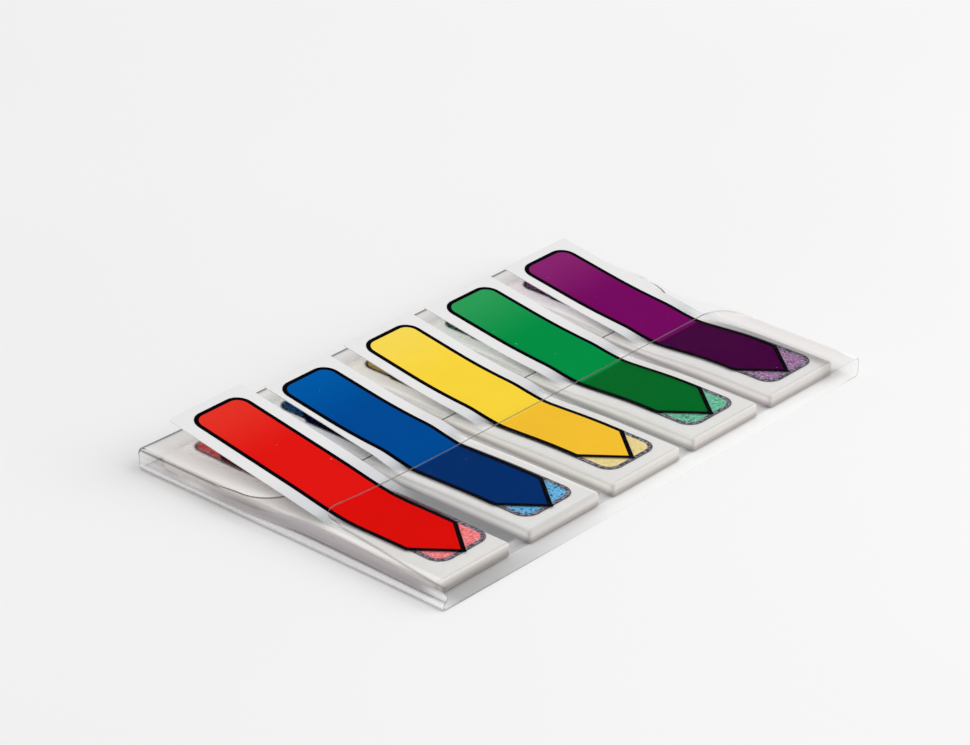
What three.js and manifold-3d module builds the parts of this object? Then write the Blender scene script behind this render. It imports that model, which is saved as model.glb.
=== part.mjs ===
// Sticky index tabs: five pads of film arrow flags side by side in a clear folded sleeve.
// X runs across the pads, +Y towards the rounded ends of the flags, Z up. Millimetres.

import * as THREE from 'three';
import { mergeVertices } from 'three/addons/utils/BufferGeometryUtils.js';
import Module from 'manifold-3d';

const wasm = await Module();
wasm.setup();

// Flags and pads. A top flag starts to bend up at one place, leaves the slot at one slope and
// ends at another. Some are lifted a little more, some have slipped along X and Y on their pad.
const even = { bendStart: -3, leave: 0.06, rise: 0.15, lift: 0, padShift: 0, slipX: 0, slipY: 0 };
const colours = [
  { ...even, name: 'red', ink: 0xe11a1a, bendStart: -7, leave: 0.16, rise: 0.16, padShift: -0.9 },
  { ...even, name: 'blue', ink: 0x004b96, leave: 0.05, lift: 0.15, slipX: -0.4, slipY: -0.5 },
  { ...even, name: 'yellow', ink: 0xf5d237, leave: 0.05, rise: 0.16, lift: 0.05 },
  { ...even, name: 'green', ink: 0x009146 },
  { ...even, name: 'purple', ink: 0x640a50 },
];
const flagWidth = 11.9;
const flagLength = 43.2;
const flagGap = 2.5;
const flagFilm = 0.1;
const flagCorner = 0.5;
const curlLength = 9;
const padThickness = 1.65;
const padEdge = 0.35;
const nearSag = 0;
const farSag = 0.75;
const sagReach = 12;

// Printed arrow: an outline round a field of colour
const sideMargin = 1.7;
const tipMargin = 1.95;
const endMargin = 1.3;
const nextTipMargin = 0.9;
const nextEndMargin = 2.35;
const arrowLength = 5.3;
const endRadius = 2;
const outlineWidth = 0.65;
const inkThickness = 0.04;

// Sleeve of clear film
const sleeveFilm = 0.2;
const nearMargin = 2.8;
const farMargin = 1.4;
const frontMargin = 2.5;
const rearMargin = 2;
const foldRadius = 0.5;
const nearLift = 0.75;
const nearLiftAtEnds = 0.3;
const liftReach = 7;
const liftSpan = 26;
const liftPeak = -3;
const wallLean = 1.5;
const wallBow = 0.6;
const wallBowReach = 8;

// Slot between the front and rear covers
const slotMiddle = 0.3;
const slotWidth = 6;
const slotCorner = 3.5;
const slotBite = 0.4;

// Clearances
const layerGap = 0.03;
const frontCoverGap = 0.3;
const rearCoverGap = 0.34;
const flagOverCover = 0.06;
const pastShoulder = 0.4;

// Smoothness of the bends
const foldSteps = 4;
const coverSteps = 14;
const wallSteps = 4;
const depthSteps = 20;
const cornerSteps = 4;
const bendSteps = 18;
const slotSteps = 24;

// Sizes that follow
const flagPitch = flagWidth + flagGap;
const printWidth = flagWidth - 2 * sideMargin;
const rowWidth = (colours.length - 1) * flagPitch + flagWidth;
const sleeveWidth = nearMargin + rowWidth + farMargin;
const sleeveDepth = frontMargin + flagLength + rearMargin;
const padFront = -sleeveDepth / 2 + frontMargin;
const padRear = padFront + flagLength;
const slotFront = slotMiddle - slotWidth / 2;
const slotRear = slotMiddle + slotWidth / 2;
const padTop = sleeveFilm + padThickness;
const nextInkLow = padTop + layerGap;
const flagLow = nextInkLow + inkThickness + layerGap;
const flagInkOffset = flagFilm + layerGap;
const frontCoverLow = flagLow + flagInkOffset + inkThickness + frontCoverGap;
const rearCoverLow = nextInkLow + inkThickness + rearCoverGap;

/** X of the middle of the pad with this place in the row. */
function padMiddle(index) {
  return -sleeveWidth / 2 + nearMargin + flagWidth / 2 + index * flagPitch;
}

/** A closed geometry from vertices and triangles, turned so that its faces point outwards. */
function closedGeometry(vertices, triangles) {
  const solid = triangles.filter(([a, b, c]) => {
    const ab = vertices[b].clone().sub(vertices[a]);
    const ac = vertices[c].clone().sub(vertices[a]);
    return ab.cross(ac).length() > 1e-9;
  });
  let volume = 0;
  for (const [a, b, c] of solid) {
    volume += vertices[a].dot(vertices[b].clone().cross(vertices[c]));
  }
  const index = solid.flatMap(([a, b, c]) => (volume > 0 ? [a, b, c] : [a, c, b]));
  const geometry = new THREE.BufferGeometry();
  const positions = vertices.flatMap((vertex) => vertex.toArray());
  geometry.setAttribute('position', new THREE.Float32BufferAttribute(positions, 3));
  geometry.setIndex(index);
  return mergeVertices(geometry, 1e-5);
}

/** The solid of a three.js geometry, for cutting. */
function solidOf(geometry) {
  return new wasm.Manifold(new wasm.Mesh({
    numProp: 3,
    vertProperties: new Float32Array(geometry.attributes.position.array),
    triVerts: new Uint32Array(geometry.index.array),
  }));
}

/** The three.js geometry of a cut solid. */
function geometryOf(solid) {
  const mesh = solid.getMesh();
  const geometry = new THREE.BufferGeometry();
  geometry.setAttribute('position', new THREE.BufferAttribute(new Float32Array(mesh.vertProperties), 3));
  geometry.setIndex(new THREE.BufferAttribute(new Uint32Array(mesh.triVerts), 1));
  return geometry;
}

/** A solid between two heights over a strip whose rows run across X. */
function stripSolid(rows, low, high) {
  const vertices = [];
  const triangles = [];
  for (const row of rows) {
    for (const height of [low, high]) {
      vertices.push(new THREE.Vector3(row.left, row.y, height(row.y)));
      vertices.push(new THREE.Vector3(row.right, row.y, height(row.y)));
    }
  }
  const quad = (a, b, c, d) => triangles.push([a, b, c], [a, c, d]);
  for (let i = 0; i + 1 < rows.length; i += 1) {
    const p = 4 * i;
    const q = p + 4;
    quad(p, q, q + 1, p + 1);
    quad(p + 2, p + 3, q + 3, q + 2);
    quad(p, p + 2, q + 2, q);
    quad(p + 1, q + 1, q + 3, p + 3);
  }
  const last = 4 * (rows.length - 1);
  quad(0, 1, 3, 2);
  quad(last, last + 2, last + 3, last + 1);
  const geometry = closedGeometry(vertices, triangles);
  return dropFlatTriangles(geometry);
}

/** The same geometry without the triangles that merging made into lines. */
function dropFlatTriangles(geometry) {
  const index = geometry.index.array;
  const kept = [];
  for (let i = 0; i < index.length; i += 3) {
    const [a, b, c] = [index[i], index[i + 1], index[i + 2]];
    if (a !== b && b !== c && c !== a) {
      kept.push(a, b, c);
    }
  }
  geometry.setIndex(kept);
  return geometry;
}

/** A solid between two heights over the ring between two closed outlines of as many points. */
function ringSolid(outer, inner, low, high) {
  const vertices = [];
  const triangles = [];
  const count = outer.length;
  for (let i = 0; i < count; i += 1) {
    for (const point of [outer[i], inner[i]]) {
      vertices.push(new THREE.Vector3(point.x, point.y, low(point.y)));
      vertices.push(new THREE.Vector3(point.x, point.y, high(point.y)));
    }
  }
  for (let i = 0; i < count; i += 1) {
    const p = 4 * i;
    const q = 4 * ((i + 1) % count);
    for (const [a, b] of [[0, 1], [1, 3], [3, 2], [2, 0]]) {
      triangles.push([p + a, q + a, q + b], [p + a, q + b, p + b]);
    }
  }
  return closedGeometry(vertices, triangles);
}

/** How far the pads sink half way along their length, more towards the far end of the row. */
function sagAt(x, y) {
  const turn = THREE.MathUtils.clamp((Math.PI / 2) * (y / sagReach), -Math.PI / 2, Math.PI / 2);
  return THREE.MathUtils.lerp(nearSag, farSag, x / sleeveWidth + 0.5) * Math.cos(turn) ** 2;
}

/** Places along the length where the layers bend, between two limits. */
function bendPlaces(from, to) {
  const places = [];
  for (let i = 1; i < bendSteps; i += 1) {
    const y = THREE.MathUtils.lerp(padFront, padRear, i / bendSteps);
    if (y > from && y < to) {
      places.push(y);
    }
  }
  return places;
}

/** Height of a top flag's underside: on its pad, up through the slot, then over the rear cover. */
function flagHeight(colour, middle, y) {
  const onPad = flagLow - sagAt(middle, y);
  if (y <= colour.bendStart) {
    return onPad;
  }
  const nearEdge = middle + colour.slipX - flagWidth / 2;
  const coverTop = coverHeight(nearEdge, slotRear) + sleeveFilm / 2;
  const overCover = coverTop + flagOverCover + colour.lift;
  if (y < slotRear) {
    const run = slotRear - colour.bendStart;
    const share = (y - colour.bendStart) / run;
    const climb = overCover - (flagLow - sagAt(middle, slotRear));
    const steeper = colour.leave * run * (share ** 3 - share ** 2);
    return onPad + climb * (3 * share ** 2 - 2 * share ** 3) + steeper;
  }
  const past = y - slotRear;
  const bent = Math.min(past, curlLength);
  const turn = (colour.rise - colour.leave) / curlLength;
  return overCover + colour.leave * past + turn * bent ** 2 / 2 + turn * bent * (past - bent);
}

/** Right half of a printed arrow, tip first, as distances from the tip and half widths. */
function arrowHalf(inset, length, places) {
  const tipAngle = Math.atan2(printWidth / 2, arrowLength);
  const half = printWidth / 2 - inset;
  const tip = inset / Math.sin(tipAngle);
  const shoulder = tip + half / Math.tan(tipAngle);
  const radius = endRadius - inset;
  const roundStart = length - endRadius;
  const points = [{ along: tip, half: 0 }, { along: shoulder, half }];
  for (const place of places) {
    points.push({ along: place, half });
  }
  for (let i = 0; i <= cornerSteps; i += 1) {
    const angle = (Math.PI / 2) * (i / cornerSteps);
    const along = roundStart + radius * Math.sin(angle);
    points.push({ along, half: half - radius * (1 - Math.cos(angle)) });
  }
  return points;
}

/** The closed outline of a printed arrow from its right half. */
function arrowOutline(points, middle, place) {
  const right = points.map((p) => ({ x: middle + p.half, y: place(p.along) }));
  const left = points.slice(1).reverse().map((p) => ({ x: middle - p.half, y: place(p.along) }));
  return [...right, ...left];
}

/** The rows of a printed arrow's field from its right half. */
function arrowRows(points, middle, place) {
  return points.map((p) => ({ y: place(p.along), left: middle - p.half, right: middle + p.half }));
}

/** The rows of a rectangular film with small round corners. */
function filmRows(middle, front, rear, places) {
  const rows = [];
  const half = flagWidth / 2;
  const corner = (i) => {
    const angle = (Math.PI / 2) * (i / cornerSteps);
    return { in: flagCorner * (1 - Math.sin(angle)), up: flagCorner * (1 - Math.cos(angle)) };
  };
  for (let i = 0; i <= cornerSteps; i += 1) {
    rows.push({ y: front + corner(i).up, half: half - corner(i).in });
  }
  for (const y of places) {
    rows.push({ y, half });
  }
  for (let i = cornerSteps; i >= 0; i -= 1) {
    rows.push({ y: rear - corner(i).up, half: half - corner(i).in });
  }
  return rows.map((row) => ({ y: row.y, left: middle - row.half, right: middle + row.half }));
}

/** One pad: a stack of flags with softened edges, a little thinner in the middle. */
function padGeometry(middle) {
  const sections = [];
  const addSection = (y, inset) => {
    const half = flagWidth / 2 - inset;
    const top = padTop - sagAt(middle, y) - inset;
    const round = padEdge - inset;
    const section = [new THREE.Vector3(-half, y, sleeveFilm), new THREE.Vector3(half, y, sleeveFilm)];
    for (const side of [1, -1]) {
      for (let i = 0; i <= cornerSteps; i += 1) {
        const angle = (Math.PI / 2) * (side > 0 ? i / cornerSteps : 1 - i / cornerSteps);
        const x = side * (half - round * (1 - Math.cos(angle)));
        section.push(new THREE.Vector3(x, y, top - round * (1 - Math.sin(angle))));
      }
    }
    sections.push(section);
  };
  const softStart = cornerSteps - 1;
  const end = (i) => {
    const angle = (Math.PI / 2) * (i / cornerSteps);
    return { in: padEdge * (1 - Math.sin(angle)), up: padEdge * (1 - Math.cos(angle)) };
  };
  for (let i = 1; i <= softStart; i += 1) {
    addSection(padFront + end(i).up, end(i).in);
  }
  const first = padFront + padEdge;
  const last = padRear - padEdge;
  for (const y of [first, ...bendPlaces(first, last), last]) {
    addSection(y, 0);
  }
  for (let i = softStart; i >= 1; i -= 1) {
    addSection(padRear - end(i).up, end(i).in);
  }
  return loft(sections);
}

/** A closed solid through sections of as many points, each a convex loop. */
function loft(sections) {
  const vertices = sections.flat();
  const triangles = [];
  const count = sections[0].length;
  for (let j = 0; j + 1 < sections.length; j += 1) {
    for (let i = 0; i < count; i += 1) {
      const p = j * count + i;
      const q = j * count + ((i + 1) % count);
      triangles.push([p, q, q + count], [p, q + count, p + count]);
    }
  }
  const last = (sections.length - 1) * count;
  for (let i = 1; i + 1 < count; i += 1) {
    triangles.push([0, i + 1, i], [last, last + i, last + i + 1]);
  }
  return closedGeometry(vertices, triangles);
}

/** How much of the near side's lift is reached at this place along the length, from 0 to 1. */
function liftShare(y) {
  const turn = THREE.MathUtils.clamp((Math.PI / 2) * ((y - liftPeak) / liftSpan), -Math.PI / 2, Math.PI / 2);
  return Math.cos(turn) ** 2;
}

/** X of the middle of the film at the near top fold. */
function nearFoldX(y) {
  return -sleeveWidth / 2 + sleeveFilm / 2 + wallLean * liftShare(y);
}

/** Height of the middle of the film of the covers. */
function coverHeight(x, y) {
  const share = THREE.MathUtils.smoothstep(y, slotFront, slotRear);
  const plain = THREE.MathUtils.lerp(frontCoverLow, rearCoverLow - sagAt(x, y), share) + sleeveFilm / 2;
  const lift = nearLiftAtEnds + nearLift * liftShare(y);
  const fromFold = Math.max(0, x - nearFoldX(y));
  return plain + lift * Math.exp(-fromFold / liftReach);
}

/** Points of an arc that rounds the corner at a vertex between two neighbours. */
function roundedCorner(before, vertex, after) {
  const first = before.clone().sub(vertex).normalize();
  const second = after.clone().sub(vertex).normalize();
  const halfAngle = first.angleTo(second) / 2;
  const reach = foldRadius / Math.tan(halfAngle);
  const middle = first.clone().add(second).normalize();
  const centre = middle.multiplyScalar(foldRadius / Math.sin(halfAngle)).add(vertex);
  const start = first.multiplyScalar(reach).add(vertex).sub(centre);
  const end = second.multiplyScalar(reach).add(vertex).sub(centre);
  const sweep = Math.PI - 2 * halfAngle;
  const points = [];
  for (let i = 0; i <= foldSteps; i += 1) {
    const share = i / foldSteps;
    const a = Math.sin((1 - share) * sweep) / Math.sin(sweep);
    const b = Math.sin(share * sweep) / Math.sin(sweep);
    points.push(start.clone().multiplyScalar(a).addScaledVector(end, b).add(centre));
  }
  return points;
}

/** Middle of the film round the sleeve at one place along its length, as points of X and Z. */
function sleeveSection(y) {
  const side = sleeveWidth / 2 - sleeveFilm / 2;
  const floor = sleeveFilm / 2;
  const nearX = nearFoldX(y);
  const nearTop = new THREE.Vector2(nearX, coverHeight(nearX, y));
  const farTop = new THREE.Vector2(side, coverHeight(side, y));
  const nearBase = new THREE.Vector2(-side, floor);
  const farBase = new THREE.Vector2(side, floor);
  const cover = [];
  for (let i = 1; i < coverSteps; i += 1) {
    const share = (i / coverSteps) ** 2;
    const x = THREE.MathUtils.lerp(nearX + foldRadius, side - foldRadius, share);
    cover.push(new THREE.Vector2(x, coverHeight(x, y)));
  }
  const bow = wallBow * Math.exp(-(y + sleeveDepth / 2) / wallBowReach);
  const wall = [];
  for (let i = 1; i < wallSteps; i += 1) {
    const share = i / wallSteps;
    const point = nearBase.clone().lerp(nearTop, share);
    point.x += bow * Math.sin(Math.PI * share);
    wall.push(point);
  }
  return [
    ...roundedCorner(wall[0], nearBase, farBase),
    ...roundedCorner(nearBase, farBase, farTop),
    ...roundedCorner(farBase, farTop, cover[coverSteps - 2]),
    ...cover.reverse(),
    ...roundedCorner(cover[coverSteps - 2], nearTop, wall[wallSteps - 2]),
    ...wall.reverse(),
  ];
}

/** The outer and inner outlines of a section: its points moved half a film out and in. */
function thickened(section) {
  const count = section.length;
  return section.map((point, i) => {
    const run = section[(i + 1) % count].clone().sub(section[(i - 1 + count) % count]).normalize();
    const out = new THREE.Vector2(run.y, -run.x).multiplyScalar(sleeveFilm / 2);
    return { outer: point.clone().add(out), inner: point.clone().sub(out) };
  });
}

/** The tube of film before its slot is cut. */
function tubeGeometry() {
  const vertices = [];
  const triangles = [];
  let count = 0;
  for (let j = 0; j <= depthSteps; j += 1) {
    const y = sleeveDepth * (j / depthSteps - 0.5);
    const section = thickened(sleeveSection(y));
    count = section.length;
    for (const { outer, inner } of section) {
      vertices.push(new THREE.Vector3(outer.x, y, Math.max(0, outer.y)));
      vertices.push(new THREE.Vector3(inner.x, y, inner.y));
    }
  }
  const at = (j, i, layer) => 2 * (j * count + (i % count)) + layer;
  for (let i = 0; i < count; i += 1) {
    for (let j = 0; j < depthSteps; j += 1) {
      for (const layer of [0, 1]) {
        const quad = [at(j, i, layer), at(j, i + 1, layer), at(j + 1, i + 1, layer), at(j + 1, i, layer)];
        const [a, b, c, d] = layer === 0 ? quad : quad.reverse();
        triangles.push([a, b, c], [a, c, d]);
      }
    }
    for (const j of [0, depthSteps]) {
      const quad = [at(j, i, 0), at(j, i, 1), at(j, i + 1, 1), at(j, i + 1, 0)];
      const [a, b, c, d] = j === 0 ? quad : quad.reverse();
      triangles.push([a, b, c], [a, c, d]);
    }
  }
  return closedGeometry(vertices, triangles);
}

/** What the slot takes out of the covers: a band across them that widens round its ends. */
function slotCutter() {
  const rows = [];
  const reach = sleeveWidth / 2 + 1;
  const top = padTop + flagLength;
  for (let i = 0; i <= slotSteps; i += 1) {
    const x = -reach * Math.cos((Math.PI * i) / slotSteps);
    const past = THREE.MathUtils.clamp(Math.abs(x) - (sleeveWidth / 2 - slotCorner), 0, slotCorner);
    const flare = slotCorner - Math.sqrt(slotCorner ** 2 - past ** 2);
    rows.push({ x, front: slotFront - flare, rear: slotRear + flare });
  }
  const vertices = [];
  const triangles = [];
  const low = (x, y) => coverHeight(x, y) - sleeveFilm / 2 - slotBite;
  for (const { x, front, rear } of rows) {
    for (let k = 0; k <= cornerSteps; k += 1) {
      const y = THREE.MathUtils.lerp(front, rear, k / cornerSteps);
      vertices.push(new THREE.Vector3(x, y, low(x, y)));
      vertices.push(new THREE.Vector3(x, y, top));
    }
  }
  const width = 2 * (cornerSteps + 1);
  const quad = (a, b, c, d) => triangles.push([a, b, c], [a, c, d]);
  for (let i = 0; i < slotSteps; i += 1) {
    const p = width * i;
    const q = p + width;
    for (let k = 0; k < cornerSteps; k += 1) {
      const m = 2 * k;
      quad(p + m, p + m + 2, q + m + 2, q + m);
      quad(p + m + 1, q + m + 1, q + m + 3, p + m + 3);
    }
    quad(p, q, q + 1, p + 1);
    quad(p + width - 2, p + width - 1, q + width - 1, q + width - 2);
  }
  for (const [start, turned] of [[0, false], [width * slotSteps, true]]) {
    for (let k = 0; k < cornerSteps; k += 1) {
      const m = start + 2 * k;
      const [a, b, c, d] = turned ? [m, m + 2, m + 3, m + 1] : [m, m + 1, m + 3, m + 2];
      quad(a, b, c, d);
    }
  }
  return closedGeometry(vertices, triangles);
}

/** The sleeve: one folded film with the slot cut across its top. */
function sleeveGeometry() {
  return geometryOf(solidOf(tubeGeometry()).subtract(solidOf(slotCutter())));
}

const film = new THREE.MeshStandardMaterial({
  color: 0xe9ecee, roughness: 0.08, metalness: 0, transparent: true, opacity: 0.3,
});
const frosted = new THREE.MeshStandardMaterial({ color: 0xdcd9d2, roughness: 0.55, metalness: 0 });
const black = new THREE.MeshStandardMaterial({ color: 0x060507, roughness: 0.4, metalness: 0 });

const model = new THREE.Group();

/** Adds one named piece to the model. */
function addPiece(name, geometry, material) {
  const mesh = new THREE.Mesh(geometry, material);
  mesh.name = name;
  model.add(mesh);
  return mesh;
}

addPiece('sleeve', sleeveGeometry(), film);

colours.forEach((colour, index) => {
  const middle = padMiddle(index);
  const ink = new THREE.MeshStandardMaterial({ color: colour.ink, roughness: 0.35, metalness: 0 });

  const pad = addPiece(`pad_${colour.name}`, padGeometry(middle), frosted);
  pad.position.x = middle + colour.padShift;

  const nextTip = padRear - nextTipMargin;
  const nextEnd = padFront + nextEndMargin;
  const nextPlace = (along) => nextTip - along;
  const nextStraight = bendPlaces(nextEnd + endRadius, nextTip - arrowLength - pastShoulder);
  const nextAlongs = nextStraight.map((y) => nextTip - y).reverse();
  const nextOuter = arrowHalf(0, nextTip - nextEnd, nextAlongs);
  const nextInner = arrowHalf(outlineWidth, nextTip - nextEnd, nextAlongs);
  const onPad = (height) => (y) => height - sagAt(middle, y);
  addPiece(`next_outline_${colour.name}`, ringSolid(
    arrowOutline(nextOuter, middle, nextPlace),
    arrowOutline(nextInner, middle, nextPlace),
    onPad(nextInkLow),
    onPad(nextInkLow + inkThickness),
  ), black);
  addPiece(`next_field_${colour.name}`, stripSolid(
    arrowRows(nextInner, middle, nextPlace),
    onPad(nextInkLow),
    onPad(nextInkLow + inkThickness),
  ), ink);

  const flagMiddle = middle + colour.slipX;
  const shortening = colour.rise ** 2 / 2 * (padRear - slotRear);
  const flagFront = padFront + colour.slipY;
  const flagRear = padRear + colour.slipY - shortening;
  const raised = (offset) => (y) => flagHeight(colour, middle, y) + offset;
  addPiece(`top_flag_${colour.name}`, stripSolid(
    filmRows(flagMiddle, flagFront, flagRear, bendPlaces(flagFront + flagCorner, flagRear - flagCorner)),
    raised(0),
    raised(flagFilm),
  ), frosted);

  const tip = flagFront + tipMargin;
  const printEnd = flagRear - endMargin;
  const place = (along) => tip + along;
  const straight = bendPlaces(tip + arrowLength + pastShoulder, printEnd - endRadius);
  const alongs = straight.map((y) => y - tip);
  const outer = arrowHalf(0, printEnd - tip, alongs);
  const inner = arrowHalf(outlineWidth, printEnd - tip, alongs);
  addPiece(`top_outline_${colour.name}`, ringSolid(
    arrowOutline(outer, flagMiddle, place),
    arrowOutline(inner, flagMiddle, place),
    raised(flagInkOffset),
    raised(flagInkOffset + inkThickness),
  ), black);
  addPiece(`top_field_${colour.name}`, stripSolid(
    arrowRows(inner, flagMiddle, place),
    raised(flagInkOffset),
    raised(flagInkOffset + inkThickness),
  ), ink);
});

export default model;
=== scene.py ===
"""Sticky index tabs in a clear sleeve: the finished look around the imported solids.

Lengths in this script are millimetres unless a name says otherwise, and become metres when a
mesh is made. X runs across the pads, +Y towards the rounded ends of the flags, Z up.
"""

import logging
import math
from dataclasses import dataclass
from enum import Enum

import bpy
import numpy as np
from mathutils import Matrix, Vector


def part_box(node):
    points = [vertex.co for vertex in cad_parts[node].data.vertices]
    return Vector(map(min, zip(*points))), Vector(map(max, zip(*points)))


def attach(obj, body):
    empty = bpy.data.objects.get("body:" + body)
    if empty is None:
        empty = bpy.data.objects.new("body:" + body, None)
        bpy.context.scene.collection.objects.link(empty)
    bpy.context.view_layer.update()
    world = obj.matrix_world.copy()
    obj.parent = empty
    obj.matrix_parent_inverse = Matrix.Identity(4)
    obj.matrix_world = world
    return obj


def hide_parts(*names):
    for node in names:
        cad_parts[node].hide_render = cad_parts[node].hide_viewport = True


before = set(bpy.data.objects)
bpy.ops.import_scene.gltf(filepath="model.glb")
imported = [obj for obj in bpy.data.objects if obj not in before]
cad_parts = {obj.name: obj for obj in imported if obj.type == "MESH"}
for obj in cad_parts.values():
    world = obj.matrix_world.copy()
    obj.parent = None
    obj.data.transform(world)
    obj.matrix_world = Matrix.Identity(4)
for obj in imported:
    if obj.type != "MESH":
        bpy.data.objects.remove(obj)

MM = 0.001
BODY = "root"
INK_GLOSS = 1.03
COVER_PASS = 0.8

log = logging.getLogger("index_tabs")

Colour = tuple[float, float, float]


class Tint(Enum):
    """The five colours of the pads, near end of the row first."""

    RED = "red"
    BLUE = "blue"
    YELLOW = "yellow"
    GREEN = "green"
    PURPLE = "purple"


NEAR_MARGIN_LOSS = {Tint.BLUE: 0.95, Tint.YELLOW: 0.2, Tint.PURPLE: 0.4}
NEXT_SHIFT = {
    Tint.RED: (0.5, 0.0),
    Tint.BLUE: (0.0, -0.5),
    Tint.YELLOW: (0.1, -0.45),
    Tint.GREEN: (0.2, -0.5),
    Tint.PURPLE: (0.5, -0.7),
}
NEXT_LEAN = {
    Tint.RED: 0.4,
    Tint.BLUE: -0.2,
    Tint.YELLOW: -0.1,
    Tint.GREEN: -0.2,
    Tint.PURPLE: -0.5,
}
NEXT_SPREAD = 0.25
THIRD_SHIFT = {
    Tint.RED: (-0.25, 0.85),
    Tint.BLUE: (0.3, 0.4),
    Tint.YELLOW: (0.05, 0.3),
    Tint.GREEN: (0.0, 0.3),
    Tint.PURPLE: (0.0, 0.3),
}


class Layer(Enum):
    """Which flag of a pad a print is on."""

    TOP = "top"
    NEXT = "next"
    THIRD = "third"


def linear(red: int, green: int, blue: int) -> Colour:
    """Turns a colour as a screen shows it into the linear one that shaders use.

    Args:
        red: Red from 0 to 255.
        green: Green from 0 to 255.
        blue: Blue from 0 to 255.

    Returns:
        The linear red, green and blue from 0 to 1.
    """

    def one(value: int) -> float:
        """Returns one channel, linear."""
        share = value / 255
        return share / 12.92 if share <= 0.04045 else ((share + 0.055) / 1.055) ** 2.4

    return one(red), one(green), one(blue)


def smooth_share(value: np.ndarray, start: float, end: float) -> np.ndarray:
    """Rises from 0 to 1 between two limits as 3 s squared less 2 s cubed.

    Args:
        value: Where to find it.
        start: Limit at which it leaves 0.
        end: Limit at which it reaches 1.

    Returns:
        The share at each value.
    """
    share = np.clip((value - start) / (end - start), 0.0, 1.0)
    return share * share * (3.0 - 2.0 * share)


class HeightLine:
    """A smooth height along Y through the lowest corners of a solid of the model."""

    def __init__(self, node: str, spacing: float = 0.6) -> None:
        """Reads the solid's corners and finds a slope at each place along its length.

        Args:
            node: Name of the solid.
            spacing: Least distance between the places that are kept.
        """
        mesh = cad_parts[node].data
        corners = np.empty(len(mesh.vertices) * 3)
        mesh.vertices.foreach_get("co", corners)
        corners = corners.reshape(-1, 3) / MM
        places, which = np.unique(np.round(corners[:, 1], 2), return_inverse=True)
        lowest = np.full(len(places), np.inf)
        np.minimum.at(lowest, which.ravel(), corners[:, 2])
        kept = [0]
        for index in range(1, len(places)):
            if places[index] - places[kept[-1]] >= spacing:
                kept.append(index)
        self.places = places[kept]
        self.heights = lowest[kept]
        step = np.diff(self.places)
        rise = np.diff(self.heights) / step
        inner = (rise[:-1] * step[1:] + rise[1:] * step[:-1]) / (step[:-1] + step[1:])
        self.slopes = np.concatenate([rise[:1], inner, rise[-1:]])

    def at(self, y: np.ndarray) -> np.ndarray:
        """Height at places along Y: a cubic between two kept places, straight on past the ends.

        Args:
            y: Places along the length.

        Returns:
            The height at each place.
        """
        y = np.asarray(y, float)
        index = np.clip(np.searchsorted(self.places, y) - 1, 0, len(self.places) - 2)
        step = self.places[index + 1] - self.places[index]
        share = np.clip((y - self.places[index]) / step, 0.0, 1.0)
        first = self.heights[index]
        last = self.heights[index + 1]
        square = share * share
        cube = square * share
        height = first * (2 * cube - 3 * square + 1) + last * (3 * square - 2 * cube)
        height += step * self.slopes[index] * (cube - 2 * square + share)
        height += step * self.slopes[index + 1] * (cube - square)
        before = np.minimum(0.0, y - self.places[0]) * self.slopes[0]
        past = np.maximum(0.0, y - self.places[-1]) * self.slopes[-1]
        return height + before + past


@dataclass
class Box:
    """The sides of a solid of the model, in millimetres."""

    low: np.ndarray
    high: np.ndarray

    @classmethod
    def of(cls, node: str) -> "Box":
        """Returns the box of the solid with this name."""
        low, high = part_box(node)
        return cls(np.array(low) / MM, np.array(high) / MM)

    @property
    def middle(self) -> float:
        """Middle of the box along X."""
        return float(self.low[0] + self.high[0]) / 2

    @property
    def width(self) -> float:
        """Width of the box along X."""
        return float(self.high[0] - self.low[0])


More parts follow.
